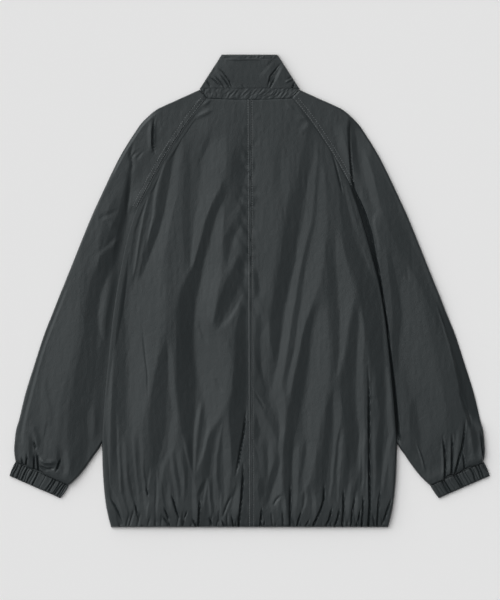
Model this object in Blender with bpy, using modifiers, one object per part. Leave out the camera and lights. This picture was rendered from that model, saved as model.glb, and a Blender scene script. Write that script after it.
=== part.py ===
"""A padded jacket with raglan sleeves, laid flat on a table with its back up.

The jacket lies on the plane z = 0, its collar towards +Y, its hem towards -Y and its left sleeve
towards -X. The front panels, the front halves of the sleeves and the front of the collar lie on the
table, and the back panels lie on them. Every piece is one wall of shell, wadding and lining.
"""
import math
from collections import namedtuple
from functools import partial

import bmesh
import bpy

# Driving sizes, in metres
WALL = 0.004
SEAM_GAP = 0.0004
LAYER_GAP = 0.0003
BACK_LENGTH = 0.740
NECK_HALF = 0.073
CASING_HEIGHT = 0.0155
COLLAR_HEIGHT = 0.0590
CASING_TOP_HALF = 0.086
COLLAR_TOP_HALF = 0.048
NECK_SEAM_Y = 0.5 * (BACK_LENGTH - CASING_HEIGHT - SEAM_GAP - COLLAR_HEIGHT)
FRONT_NECK_DROP = 0.022
ZIP_WIDTH = 0.010
ZIP_THICKNESS = 0.002
SLIDER_WIDTH = 0.008
SLIDER_LENGTH = 0.012
SLIDER_THICKNESS = 0.0026
ZIP_ROUNDING = 0.15

# Heights of the upper layer's outer face above the table
EDGE_TOP = 2 * WALL + LAYER_GAP
SEAM_TOP = 0.0098
CROWN = 0.0026
SIDE_ROLL = 0.014
SEAM_FADE = 0.028

# Columns and rows of the grids of the plainer pieces
FRONT_COLUMNS = 8
SLEEVE_FRONT_COLUMNS = 4
CUFF_FRONT_COLUMNS = 4
COLLAR_COLUMNS = 20
COLLAR_ROWS = 6
COLLAR_FRONT_COLUMNS = 8
COLLAR_FRONT_ROWS = 2
CASING_ROWS = 3
CASING_COLUMNS_PER_GATHER = 3

# Gathers: how many lie side by side, and how far each stands up and down
HEM_GATHERS_PER_PANEL = 22
HEM_GATHER_HEIGHT = 0.0017
HEM_GATHER_REACH = 0.085
SLEEVE_GATHERS = 8
SLEEVE_GATHER_HEIGHT = 0.0022
SLEEVE_GATHER_REACH = 0.060
SLEEVE_BLOUSE = 0.0035
CASING_GATHERS = 20
CASING_GATHER_HEIGHT = 0.0009
CUFF_RIBS = 14
CUFF_RIB_HEIGHT = 0.0009

# Where body and sleeve meet, a row for each section from the neck down: distance below the neck
# seam and half width of the body, then the point across from it on the sleeve's outer edge
Section = namedtuple("Section", "drop half outer_drop outer_half")
SIDE_SECTIONS = (
    Section(0.000, 0.073, -0.014, 0.086),
    Section(0.036, 0.102, 0.005, 0.128),
    Section(0.054, 0.115, 0.0135, 0.147),
    Section(0.072, 0.127, 0.022, 0.163),
    Section(0.092, 0.140, 0.040, 0.183),
    Section(0.112, 0.152, 0.060, 0.198),
    Section(0.152, 0.174, 0.106, 0.226),
    Section(0.198, 0.197, 0.179, 0.261),
    Section(0.238, 0.210, 0.215, 0.277),
    Section(0.279, 0.219, 0.257, 0.294),
    Section(0.320, 0.227, 0.297, 0.310),
    Section(0.359, 0.233, 0.334, 0.325),
    Section(0.398, 0.238, 0.372, 0.340),
    Section(0.438, 0.242, 0.410, 0.355),
    Section(0.497, 0.248, 0.469, 0.374),
    Section(0.545, 0.2515, 0.511, 0.387),
    Section(0.592, 0.254, 0.553, 0.397),
)
# The sleeve below the point where it leaves the body, down to the cuff's upper edge
SLEEVE_END_SECTIONS = (
    Section(0.618, 0.269, 0.574, 0.403),
    Section(0.646, 0.289, 0.604, 0.406),
    Section(0.661, 0.303, 0.618, 0.405),
    Section(0.666, 0.310, 0.626, 0.403),
)
# The cuff, from the edge sewn to the sleeve to its free edge
CUFF_SECTIONS = (
    Section(0.6670, 0.3105, 0.6272, 0.4035),
    Section(0.6740, 0.3145, 0.6335, 0.4070),
    Section(0.6830, 0.3205, 0.6425, 0.4110),
    Section(0.6900, 0.3260, 0.6515, 0.4140),
)
# The body below the sleeve, drawn in by the elastic of the hem
HemRow = namedtuple("HemRow", "drop half")
HEM_ROWS = (
    HemRow(0.634, 0.2535),
    HemRow(0.674, 0.251),
    HemRow(0.700, 0.248),
    HemRow(0.716, 0.245),
    HemRow(0.729, 0.242),
    HemRow(BACK_LENGTH, 0.239),
)
ARMPIT_DROP = 0.198

# The largest folds, a row for each: its line from start to end (place across the jacket, distance
# below the neck seam), half width, and how far the cloth falls towards the right across it
Fold = namedtuple("Fold", "start_x start_drop end_x end_drop width fall")
BACK_FOLDS = (
    Fold(-0.124, 0.072, -0.172, 0.262, 0.014, 0.0024),
    Fold(-0.108, 0.100, -0.111, 0.292, 0.014, 0.0018),
    Fold(-0.045, 0.147, -0.108, 0.340, 0.017, 0.0034),
    Fold(-0.110, 0.318, -0.107, 0.560, 0.020, 0.0034),
    Fold(-0.030, 0.200, -0.043, 0.350, 0.013, 0.0022),
    Fold(-0.042, 0.330, -0.030, 0.610, 0.014, 0.0026),
    Fold(-0.160, 0.400, -0.150, 0.610, 0.014, 0.0022),
    Fold(0.103, 0.060, 0.062, 0.230, 0.014, 0.0026),
    Fold(0.060, 0.210, 0.044, 0.480, 0.016, 0.0028),
    Fold(0.112, 0.350, 0.074, 0.690, 0.013, 0.0026),
    Fold(0.176, 0.360, 0.132, 0.610, 0.013, 0.0024),
    Fold(0.205, 0.460, 0.205, 0.700, 0.010, 0.0020),
)
SLEEVE_FOLDS = (
    Fold(-0.206, 0.100, -0.214, 0.215, 0.010, 0.0024),
    Fold(-0.258, 0.285, -0.290, 0.500, 0.016, 0.0026),
    Fold(-0.335, 0.430, -0.360, 0.600, 0.014, 0.0016),
    Fold(0.192, 0.060, 0.212, 0.180, 0.010, 0.0024),
    Fold(0.256, 0.265, 0.272, 0.420, 0.013, 0.0022),
    Fold(0.345, 0.400, 0.380, 0.600, 0.014, 0.0020),
)
COLLAR_FOLDS = (
    Fold(-0.074, -0.052, -0.048, -0.020, 0.006, 0.0012),
    Fold(0.070, -0.054, 0.046, -0.020, 0.006, 0.0012),
)

# Finishes: linear colour, roughness and metallic value
Finish = namedtuple("Finish", "colour roughness metallic")
SHELL_NYLON = Finish((0.038, 0.044, 0.046), 0.40, 0.0)
ZIP_TAPE = Finish((0.020, 0.023, 0.024), 0.75, 0.0)
ZIP_METAL = Finish((0.10, 0.10, 0.10), 0.35, 1.0)

LEFT, RIGHT = -1, 1
SIDE_NAMES = {LEFT: "left", RIGHT: "right"}


def clear_scene():
    """Removes whatever the open file holds."""
    for leftover in list(bpy.data.objects):
        bpy.data.objects.remove(leftover, do_unlink=True)


def smooth(share):
    """An ease from 0 to 1, with no slope at either end."""
    share = min(max(share, 0.0), 1.0)
    return share * share * (3.0 - 2.0 * share)


def between(first, second, share):
    """The value a share of the way from the first to the second."""
    return first + (second - first) * share


def section_at(sections, row):
    """The section at a whole or broken row number of a table."""
    index = min(int(row), len(sections) - 2)
    pairs = zip(sections[index], sections[index + 1])
    return type(sections[index])(*(between(a, b, row - index) for a, b in pairs))


def fold_height(folds, x, drop):
    """Height that the folds add: each is a ridge on the left of its line and a trough on the right."""
    height = 0.0
    for fold in folds:
        run_x = fold.end_x - fold.start_x
        run_drop = fold.end_drop - fold.start_drop
        length = math.hypot(run_x, run_drop)
        from_x = x - fold.start_x
        from_drop = drop - fold.start_drop
        along = (from_x * run_x + from_drop * run_drop) / length ** 2
        if not 0.0 < along < 1.0:
            continue
        reach = (from_x * run_drop - from_drop * run_x) / length / fold.width
        taper = smooth(4.0 * min(along, 1.0 - along))
        height -= fold.fall * taper * reach * math.exp(0.5 - 0.5 * reach * reach)
    return height


def finish_material(name, finish):
    """A Principled material with one finish's colour, roughness and metallic value."""
    material = bpy.data.materials.new(name)
    material.use_nodes = True
    shader = material.node_tree.nodes["Principled BSDF"]
    shader.inputs["Base Color"].default_value = (*finish.colour, 1.0)
    shader.inputs["Roughness"].default_value = finish.roughness
    shader.inputs["Metallic"].default_value = finish.metallic
    return material


def add_node(name, mesh, finish):
    """Puts a finished mesh in the jacket's collection, with its own material."""
    mesh.materials.append(finish_material(name, finish))
    node = bpy.data.objects.new(name, mesh)
    jacket.objects.link(node)
    return node


def cloth_piece(name, columns, rows, place, on_top, gathered_rows=0):
    """One wall of cloth: a grid whose points go where place(across, row) puts them, made thick.

    The grid runs from left to right and from its last row up to row 0. Its gathered rows, the last
    ones, have twice the columns. A piece on top keeps its outer face, and one underneath its lower.
    """
    grid = bmesh.new()
    bmesh.ops.create_grid(grid, x_segments=columns, y_segments=rows, size=0.5)
    level = -0.5 + (gathered_rows + 0.5) / rows
    crossing = [
        edge for edge in grid.edges
        if edge.verts[0].co.y < level and abs(edge.verts[0].co.y - edge.verts[1].co.y) < 0.5 / rows
    ]
    if gathered_rows:
        bmesh.ops.subdivide_edges(grid, edges=crossing, cuts=1)
    for vertex in grid.verts:
        vertex.co = place(vertex.co.x + 0.5, (0.5 - vertex.co.y) * rows)
    mesh = bpy.data.meshes.new(name)
    grid.to_mesh(mesh)
    grid.free()
    mesh.shade_smooth()
    node = add_node(name, mesh, SHELL_NYLON)
    wall = node.modifiers.new("Wall", "SOLIDIFY")
    wall.thickness = WALL
    wall.offset = -1.0 if on_top else 1.0
    return node


def outward(side, across):
    """Share of the way from the middle of the jacket to its edge, on the given side."""
    return across if side == RIGHT else 1.0 - across


def body_rows():
    """Sections of the body from the neck seam to the hem."""
    seam = tuple(HemRow(section.drop, section.half) for section in SIDE_SECTIONS)
    return seam + HEM_ROWS


def neck_drop(x):
    """How far the front neck seam lies below the back one, at a place across the jacket."""
    return FRONT_NECK_DROP * (1.0 - (x / NECK_HALF) ** 2) if abs(x) < NECK_HALF else 0.0


def add_body_panels(side):
    """The back panel of one side, with its folds and hem gathers, and the flat front panel under it."""
    sections = body_rows()
    rows = len(sections) - 1

    def back_place(across, row):
        section = section_at(sections, row)
        share = outward(side, across)
        x = side * between(0.5 * SEAM_GAP, section.half - 0.5 * SEAM_GAP, share)
        drop = section.drop
        to_side = section.half - abs(x)
        to_middle = abs(x)
        fade = smooth(to_middle / SEAM_FADE) * smooth(to_side / SEAM_FADE) * smooth(drop / SEAM_FADE)
        top = SEAM_TOP + fade * (CROWN + fold_height(BACK_FOLDS, x, drop))
        gather = smooth((drop - BACK_LENGTH + HEM_GATHER_REACH) / HEM_GATHER_REACH)
        wave = -math.cos(2.0 * math.pi * HEM_GATHERS_PER_PANEL * share)
        top += HEM_GATHER_HEIGHT * gather * wave
        if drop > ARMPIT_DROP:
            top = between(EDGE_TOP, top, smooth(to_side / SIDE_ROLL))
        return x, NECK_SEAM_Y - drop, max(top, EDGE_TOP)

    def front_place(across, row):
        section = section_at(sections, row)
        share = outward(side, across)
        x = side * between(0.5 * ZIP_WIDTH + SEAM_GAP, section.half - 0.5 * SEAM_GAP, share)
        lowered = neck_drop(x) * (1.0 - smooth(row / len(SIDE_SECTIONS)))
        return x, NECK_SEAM_Y - section.drop - lowered, 0.0

    cloth_piece(f"back_{SIDE_NAMES[side]}", HEM_GATHERS_PER_PANEL, rows, back_place, True, len(HEM_ROWS))
    cloth_piece(f"front_{SIDE_NAMES[side]}", FRONT_COLUMNS, rows, front_place, False)


def add_sleeve(side):
    """The upper half of one sleeve, gathered into its cuff, and the flat under half."""
    sections = SIDE_SECTIONS + SLEEVE_END_SECTIONS
    rows = len(sections) - 1

    def spot(across, row):
        section = section_at(sections, row)
        share = outward(side, across)
        x = between(section.half + 0.5 * SEAM_GAP, section.outer_half, share)
        drop = between(section.drop, section.outer_drop, share)
        width = math.hypot(section.outer_half - section.half, section.outer_drop - section.drop)
        return side * x, drop, share * width, (1.0 - share) * width, section

    def back_place(across, row):
        x, drop, to_body, to_outer, section = spot(across, row)
        sewn = smooth((ARMPIT_DROP - section.drop) / SEAM_FADE + 0.5)
        to_cuff = sections[-1].drop - section.drop
        seam_side = between(EDGE_TOP, SEAM_TOP, sewn)
        rise = between(seam_side, SEAM_TOP + CROWN, smooth(to_body / SEAM_FADE))
        fade = smooth(to_body / SEAM_FADE) * smooth(to_outer / SEAM_FADE) * smooth(to_cuff / SEAM_FADE)
        rise += fade * fold_height(SLEEVE_FOLDS, x, drop)
        near_cuff = smooth(1.0 - to_cuff / SLEEVE_GATHER_REACH)
        rise += SLEEVE_BLOUSE * near_cuff * smooth(to_cuff / (0.4 * SLEEVE_GATHER_REACH))
        wave = math.cos(2.0 * math.pi * SLEEVE_GATHERS * across)
        rise += SLEEVE_GATHER_HEIGHT * near_cuff * wave
        top = between(EDGE_TOP, rise, smooth(to_outer / SIDE_ROLL))
        return x, NECK_SEAM_Y - drop, max(top, EDGE_TOP)

    def front_place(across, row):
        x, drop, _, _, _ = spot(across, row)
        return x, NECK_SEAM_Y - drop, 0.0

    gathered = len(SLEEVE_END_SECTIONS)
    cloth_piece(f"sleeve_back_{SIDE_NAMES[side]}", SLEEVE_GATHERS, rows, back_place, True, gathered)
    cloth_piece(f"sleeve_front_{SIDE_NAMES[side]}", SLEEVE_FRONT_COLUMNS, rows, front_place, False)


def add_cuff(side):
    """The ribbed upper half of one elastic cuff, and the flat under half."""
    rows = len(CUFF_SECTIONS) - 1

    def place(across, row, ribbed):
        section = section_at(CUFF_SECTIONS, row)
        share = outward(side, across)
        x = side * between(section.half, section.outer_half, share)
        y = NECK_SEAM_Y - between(section.drop, section.outer_drop, share)
        width = math.hypot(section.outer_half - section.half, section.outer_drop - section.drop)
        to_edge = width * min(share, 1.0 - share)
        rib = CUFF_RIB_HEIGHT * (1.0 + math.cos(2.0 * math.pi * CUFF_RIBS * across))
        rise = EDGE_TOP + smooth(to_edge / SIDE_ROLL) * (SEAM_TOP - EDGE_TOP) + rib
        return x, y, rise if ribbed else 0.0

    name = SIDE_NAMES[side]
    cloth_piece(f"cuff_back_{name}", 2 * CUFF_RIBS, rows, lambda a, r: place(a, r, True), True)
    cloth_piece(f"cuff_front_{name}", CUFF_FRONT_COLUMNS, rows, lambda a, r: place(a, r, False), False)


def collar_spot(across, rise):
    """Place across and height above the neck seam, for a share across the whole collar."""
    half = between(CASING_TOP_HALF, COLLAR_TOP_HALF, rise / COLLAR_HEIGHT)
    return half * (2.0 * across - 1.0), half, CASING_HEIGHT + SEAM_GAP + rise


def add_collar():
    """The back of the stand collar, and its two front halves that meet at the zip."""
    def back_place(across, row):
        x, half, height = collar_spot(across, COLLAR_HEIGHT * (1.0 - row / COLLAR_ROWS))
        to_side = half - abs(x)
        to_foot = height - CASING_HEIGHT
        fade = smooth(to_foot / SIDE_ROLL) * smooth(to_side / SIDE_ROLL)
        rise = SEAM_TOP + fade * (0.5 * CROWN + fold_height(COLLAR_FOLDS, x, -height))
        top = between(EDGE_TOP, rise, smooth(to_side / SIDE_ROLL))
        return x, NECK_SEAM_Y + height, max(top, EDGE_TOP)

    def front_place(side, across, row):
        rise = COLLAR_HEIGHT * (1.0 - row / COLLAR_FRONT_ROWS)
        _, half, height = collar_spot(0.0, rise)
        x = side * between(0.5 * ZIP_WIDTH + SEAM_GAP, half, outward(side, across))
        return x, NECK_SEAM_Y + height - neck_drop(x * NECK_HALF / half), 0.0

    cloth_piece("collar_back", COLLAR_COLUMNS, COLLAR_ROWS, back_place, True)
    for side in (LEFT, RIGHT):
        name = f"collar_front_{SIDE_NAMES[side]}"
        half_place = partial(front_place, side)
        cloth_piece(name, COLLAR_FRONT_COLUMNS, COLLAR_FRONT_ROWS, half_place, False)


def add_casing():
    """The gathered elastic casing between collar and body, at the back and at the two fronts."""
    def half_at(rise):
        return between(NECK_HALF, CASING_TOP_HALF, rise / CASING_HEIGHT) - 0.5 * SEAM_GAP

    def back_place(across, row):
        rise = between(SEAM_GAP, CASING_HEIGHT, 1.0 - row / CASING_ROWS)
        half = half_at(rise)
        x = half * (2.0 * across - 1.0)
        to_end = half - abs(x)
        ridge = CASING_GATHER_HEIGHT * math.sin(math.pi * row / CASING_ROWS)
        wave = math.cos(2.0 * math.pi * CASING_GATHERS * across)
        top = SEAM_TOP + smooth(to_end / SIDE_ROLL) * ridge * (1.0 + wave)
        return x, NECK_SEAM_Y + rise, top

    def front_place(side, across, row):
        rise = between(SEAM_GAP, CASING_HEIGHT, 1.0 - row)
        half = half_at(rise)
        x = side * between(0.5 * ZIP_WIDTH + SEAM_GAP, half, outward(side, across))
        return x, NECK_SEAM_Y + rise - neck_drop(x * NECK_HALF / half), 0.0

    columns = CASING_COLUMNS_PER_GATHER * CASING_GATHERS
    cloth_piece("casing_back", columns, CASING_ROWS, back_place, True)
    for side in (LEFT, RIGHT):
        name = f"casing_front_{SIDE_NAMES[side]}"
        cloth_piece(name, COLLAR_FRONT_COLUMNS, 1, partial(front_place, side), False)


def add_block(name, size, centre, finish):
    """A small block with rounded edges."""
    mesh = bpy.data.meshes.new(name)
    block = bmesh.new()
    bmesh.ops.create_cube(block, size=1.0)
    bmesh.ops.scale(block, vec=size, verts=block.verts)
    block.to_mesh(mesh)
    block.free()
    node = add_node(name, mesh, finish)
    node.location = centre
    rounding = node.modifiers.new("Rounding", "BEVEL")
    rounding.width = ZIP_ROUNDING * min(size)
    rounding.segments = 1
    return node


def add_zip():
    """The closed front zip, level with the table, and its slider at the top."""
    top_y = NECK_SEAM_Y + CASING_HEIGHT + COLLAR_HEIGHT - FRONT_NECK_DROP
    hem_y = NECK_SEAM_Y - BACK_LENGTH
    chain_top = top_y - SLIDER_LENGTH - LAYER_GAP
    length = chain_top - hem_y
    add_block(
        "front_zip",
        (ZIP_WIDTH, length, ZIP_THICKNESS),
        (0.0, 0.5 * (hem_y + chain_top), 0.5 * ZIP_THICKNESS),
        ZIP_TAPE,
    )
    add_block(
        "zip_slider",
        (SLIDER_WIDTH, SLIDER_LENGTH, SLIDER_THICKNESS),
        (0.0, top_y - 0.5 * SLIDER_LENGTH, 0.5 * SLIDER_THICKNESS),
        ZIP_METAL,
    )


clear_scene()
jacket = bpy.data.collections.new("padded_jacket")
bpy.context.scene.collection.children.link(jacket)
for body_side in (LEFT, RIGHT):
    add_body_panels(body_side)
    add_sleeve(body_side)
    add_cuff(body_side)
add_collar()
add_casing()
add_zip()
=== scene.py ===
import math
from collections import namedtuple

import bmesh
import bpy
import numpy as np
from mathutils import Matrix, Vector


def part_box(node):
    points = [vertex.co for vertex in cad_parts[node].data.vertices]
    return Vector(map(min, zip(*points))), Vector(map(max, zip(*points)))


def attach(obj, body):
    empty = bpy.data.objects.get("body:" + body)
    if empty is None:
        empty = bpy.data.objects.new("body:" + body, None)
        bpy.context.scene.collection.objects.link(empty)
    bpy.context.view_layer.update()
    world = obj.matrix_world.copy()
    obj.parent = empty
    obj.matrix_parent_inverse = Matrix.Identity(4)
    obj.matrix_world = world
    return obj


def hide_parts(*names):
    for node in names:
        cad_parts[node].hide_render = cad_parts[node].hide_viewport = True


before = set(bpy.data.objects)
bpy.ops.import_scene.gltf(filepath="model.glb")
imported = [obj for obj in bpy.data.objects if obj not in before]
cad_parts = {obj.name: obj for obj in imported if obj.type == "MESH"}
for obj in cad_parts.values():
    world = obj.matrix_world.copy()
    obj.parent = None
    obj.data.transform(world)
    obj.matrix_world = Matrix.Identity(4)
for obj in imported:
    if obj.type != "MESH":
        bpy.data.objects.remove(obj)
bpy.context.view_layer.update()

# Front panels
# Two nylon panels that lie face down on the floor under the back and meet at the zip.
# They are sewn to the back at the side seams, and their neck is cut lower than the back's.
MM = 0.001
LEFT, RIGHT = -1.0, 1.0
SIDES = {"left": LEFT, "right": RIGHT}
NECK_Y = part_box("back_left")[1].y
BODY_LENGTH = NECK_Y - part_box("back_left")[0].y
NECK_HALF = 73 * MM
FRONT_NECK_DROP = 22 * MM
ZIP_HALF = 5.4 * MM
CLOTH_WALL = 0.9 * MM
UNDER_FACE = 0.3 * MM
UNDER_CREASE = 0.8 * MM
CREASE_ANGLE = math.radians(28)

# Sizes in millimetres: the body's half width at a drop below the neck seam, and where the sleeve's
# outer edge lies on the line across the sleeve that starts there.
Section = namedtuple("Section", "drop half outer_drop outer_half")
SIDE_SECTIONS = (
    Section(0, 73, -14, 86),
    Section(36, 102, 5, 128),
    Section(54, 115, 13.5, 147),
    Section(72, 127, 22, 163),
    Section(92, 140, 40, 183),
    Section(112, 152, 60, 198),
    Section(152, 174, 106, 226),
    Section(198, 197, 179, 261),
    Section(238, 210, 215, 277),
    Section(279, 219, 257, 294),
    Section(320, 227, 297, 310),
    Section(359, 233, 334, 325),
    Section(398, 238, 372, 340),
    Section(438, 242, 410, 355),
    Section(497, 248, 469, 374),
    Section(545, 251.5, 511, 387),
    Section(592, 254, 553, 397),
)
HemRow = namedtuple("HemRow", "drop half")
HEM_ROWS = (
    HemRow(634, 253.5),
    HemRow(674, 251),
    HemRow(700, 248),
    HemRow(716, 245),
    HemRow(729, 242),
    HemRow(740, 239),
)
SIDE_LINE = tuple(HemRow(section.drop, section.half) for section in SIDE_SECTIONS) + HEM_ROWS


def ease(share):
    """A share from 0 to 1 that starts and stops gently."""
    share = np.clip(share, 0.0, 1.0)
    return share * share * (3.0 - 2.0 * share)


def smooth_through(knots, values, at):
    """Values of a smooth curve through a table's rows, at places between its knots."""
    knots = np.asarray(knots, float)
    values = np.asarray(values, float)
    slopes = np.gradient(values, knots)
    row = np.clip(np.searchsorted(knots, at) - 1, 0, len(knots) - 2)
    span = knots[row + 1] - knots[row]
    share = (at - knots[row]) / span
    rest = 1.0 - share
    start = rest * rest * ((1.0 + 2.0 * share) * values[row] + share * span * slopes[row])
    end = share * share * ((3.0 - 2.0 * share) * values[row + 1] - rest * span * slopes[row + 1])
    return start + end


def body_half(drop):
    """Half the width of the laid body at a drop below the neck seam."""
    rows = np.array(SIDE_LINE) * MM
    return smooth_through(rows[:, 0], rows[:, 1], drop)


MOTTLE_CELLS = 97


def mottle(x, y, across, down, seed):
    """Smooth uneven waves between -1 and 1, of about the given sizes across and down."""
    drawn = np.random.default_rng(seed).uniform(-1.0, 1.0, (MOTTLE_CELLS, MOTTLE_CELLS))
    x, y = x / across + MOTTLE_CELLS // 2, y / down + MOTTLE_CELLS // 2
    column, row = np.floor(x).astype(int), np.floor(y).astype(int)
    right, low = ease(x - column), ease(y - row)
    here, after = column % MOTTLE_CELLS, (column + 1) % MOTTLE_CELLS
    upper, lower = (
        drawn[line % MOTTLE_CELLS, here] * (1.0 - right) + drawn[line % MOTTLE_CELLS, after] * right
        for line in (row, row + 1)
    )
    return upper * (1.0 - low) + lower * low


class Dye:
    """An output of a material's nodes, so that shader sums are written as Python."""

    def __init__(self, tree, socket=None):
        self.tree = tree
        self.socket = socket

    def node(self, kind, settings, inputs, output=0):
        """Adds a node, with its settings first and then the values or links of its sockets."""
        made = self.tree.nodes.new(kind)
        for name, value in settings.items():
            setattr(made, name, value)
        for key, value in inputs.items():
            if isinstance(value, Dye):
                self.tree.links.new(value.socket, made.inputs[key])
            else:
                made.inputs[key].default_value = value
        return Dye(self.tree, made.outputs[output])

    def noise(self, place, scale, detail):
        """Cloudy values at a place."""
        return self.node("ShaderNodeTexNoise", {}, {"Vector": place, "Scale": scale, "Detail": detail})

    def between(self, share, deep, pale):
        """A colour that goes from deep to pale with a share."""
        ends = {"Factor": share, 6: (*deep, 1.0), 7: (*pale, 1.0)}
        return self.node("ShaderNodeMix", {"data_type": "RGBA"}, ends, 2)

    def maths(self, operation, first, second):
        """The result of an operation on two Dyes or numbers."""
        return self.node("ShaderNodeMath", {"operation": operation}, {0: first, 1: second})

    def __add__(self, other):
        return self.maths("ADD", self, other)

    __radd__ = __add__

    def __sub__(self, other):
        return self.maths("SUBTRACT", self, other)

    def __mul__(self, other):
        return self.maths("MULTIPLY", self, other)

    __rmul__ = __mul__


def new_finish(name):
    """A fresh material, its Principled shader and a Dye to build its nodes with."""
    material = bpy.data.materials.new(name)
    material.use_nodes = True
    return material, material.node_tree.nodes["Principled BSDF"], Dye(material.node_tree)


def feed(shader, name, dye):
    """Links a Dye to a socket of the shader."""
    dye.tree.links.new(dye.socket, shader.inputs[name])


def satin_nylon(name, deep, pale, roughness):
    """Dense satin nylon: a tone that drifts slightly, a fine plain weave and a faint crinkle."""
    material, shader, dye = new_finish(name)
    place = dye.node("ShaderNodeTexCoord", {}, {}, "Object")
    cloud = dye.noise(place, 14.0, 4.0)
    crinkle = dye.noise(place, 190.0, 3.0)
    grain = dye.noise(place, 620.0, 1.0)
    warp = dye.node("ShaderNodeTexWave", {"bands_direction": "X"}, {"Vector": place, "Scale": 520.0})
    weft = dye.node("ShaderNodeTexWave", {"bands_direction": "Y"}, {"Vector": place, "Scale": 520.0})
    blend = 0.75 * cloud + 0.25 * crinkle
    tone = dye.between(blend, deep, pale)
    relief = crinkle + 1.1 * grain + 0.10 * (warp * weft)
    bump = dye.node("ShaderNodeBump", {}, {"Height": relief, "Strength": 0.42, "Distance": 0.6 * MM})
    feed(shader, "Base Color", tone)
    feed(shader, "Roughness", roughness + 0.10 * (blend - 0.5))
    feed(shader, "Normal", bump)
    shader.inputs["Specular IOR Level"].default_value = SATIN_GLOSS
    shader.inputs["Specular Tint"].default_value = SATIN_TINT
    return material


SATIN_GLOSS = 0.36
SHELL_DEEP = (0.0172, 0.0212, 0.0226)
SHELL_PALE = (0.0206, 0.0250, 0.0266)
SATIN_TINT = (0.93, 0.99, 1.0, 1.0)
shell_finish = satin_nylon("shell_satin", SHELL_DEEP, SHELL_PALE, 0.30)


def mesh_from(shape, name):
    """A mesh with the faces of a bmesh, which is freed."""
    mesh = bpy.data.meshes.new(name)
    shape.to_mesh(mesh)
    shape.free()
    return mesh


def show(name, data):
    """A new object in the scene, for a mesh, a light or a camera."""
    thing = bpy.data.objects.new(name, data)
    bpy.context.scene.collection.objects.link(thing)
    return thing


def lay_cloth(name, x, y, z, finish, on_top):
    """One piece of cloth: a grid of points in rows from the top and columns from left to right.

    It is smooth, with crisp lines where it bends by more than the crease angle. A piece on top keeps
    its outer face where the points are, and one underneath its lower face.
    """
    rows, columns = (count - 1 for count in x.shape)
    grid = bmesh.new()
    bmesh.ops.create_grid(grid, x_segments=columns, y_segments=rows, size=0.5)
    mesh = mesh_from(grid, name)
    flat = np.empty(3 * len(mesh.vertices))
    mesh.vertices.foreach_get("co", flat)
    flat = flat.reshape(-1, 3)
    column = np.rint((flat[:, 0] + 0.5) * columns).astype(int)
    row = np.rint((0.5 - flat[:, 1]) * rows).astype(int)
    laid = np.stack(np.broadcast_arrays(x, y, z), axis=-1)
    mesh.vertices.foreach_set("co", laid[row, column].ravel())
    mesh.update()
    mesh.shade_smooth()
    mesh.set_sharp_from_angle(angle=CREASE_ANGLE)
    mesh.materials.append(finish)
    piece = show(name, mesh)
    wall = piece.modifiers.new("Wall", "SOLIDIFY")
    wall.thickness = CLOTH_WALL
    wall.offset = -1.0 if on_top else 1.0
    return piece


def dress(piece, node):
    """The piece stands for a CAD node, on the jacket's one body."""
    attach(piece, "root")
    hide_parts(node)


def lay_half(node, side, x, y, z, finish, on_top):
    """The cloth of a node on one side of the jacket; its columns run from the middle outward."""
    spots = (x, y, z) if side == RIGHT else (array[:, ::-1] for array in (x, y, z))
    piece = lay_cloth(node + "_cloth", *spots, finish, on_top)
    dress(piece, node)
    return piece


def neck_dip(x, depth):
    """How far a neck seam of a given depth lies below its ends, at a place across the jacket."""
    return depth * np.clip(1.0 - (x / NECK_HALF) ** 2, 0.0, None)


def under_creases(x, drop, to_edge, seed):
    """Shallow creases of cloth that lies flat on the floor."""
    long_waves = 0.7 * mottle(x, drop, 19 * MM, 120 * MM, seed)
    short_waves = 0.3 * mottle(x, drop, 8 * MM, 45 * MM, seed + 1)
    waves = np.clip(long_waves + short_waves, 0.0, None)
    return UNDER_FACE + UNDER_CREASE * waves * ease(to_edge / (20 * MM))


FRONT_SEED = {LEFT: 11, RIGHT: 17}
NECK_DROP_FADE = 600 * MM
for side_name, side in SIDES.items():
    drop = np.linspace(0.0, BODY_LENGTH, 120)[:, None]
    share = np.linspace(0.0, 1.0, 60)[None, :]
    half = body_half(drop)
    x = side * (ZIP_HALF + (half - ZIP_HALF) * share)
    y = NECK_Y - (drop + neck_dip(x, FRONT_NECK_DROP) * (1.0 - ease(drop / NECK_DROP_FADE)))
    to_edge = np.minimum(half - np.abs(x), BODY_LENGTH - drop)
    z = under_creases(x, drop, to_edge, FRONT_SEED[side])
    piece = lay_half(f"front_{side_name}", side, x, y, z, shell_finish, False)

# Back panels
# The two back panels, sewn together down the centre with a felled seam and two rows of topstitching.
# The satin lies loose over the padding, so it breaks into long folds that fan down from the raglan
# seams, and an elastic in the hem gathers it.
SEAM_TOP = 8.8 * MM
LOW_LIMIT = 2.6 * MM
FREE_EDGE = 2.6 * MM
OVER_SLEEVE_EDGE = {LEFT: 8.0 * MM, RIGHT: 7.6 * MM}
EDGE_CROWN = 0.5 * MM
NECK_SAG = 2.4 * MM
SIDE_ROLL = 4 * MM
HEM_ROLL = 4 * MM
ARMPIT_DROP = {LEFT: 198 * MM, RIGHT: 162 * MM}
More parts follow.
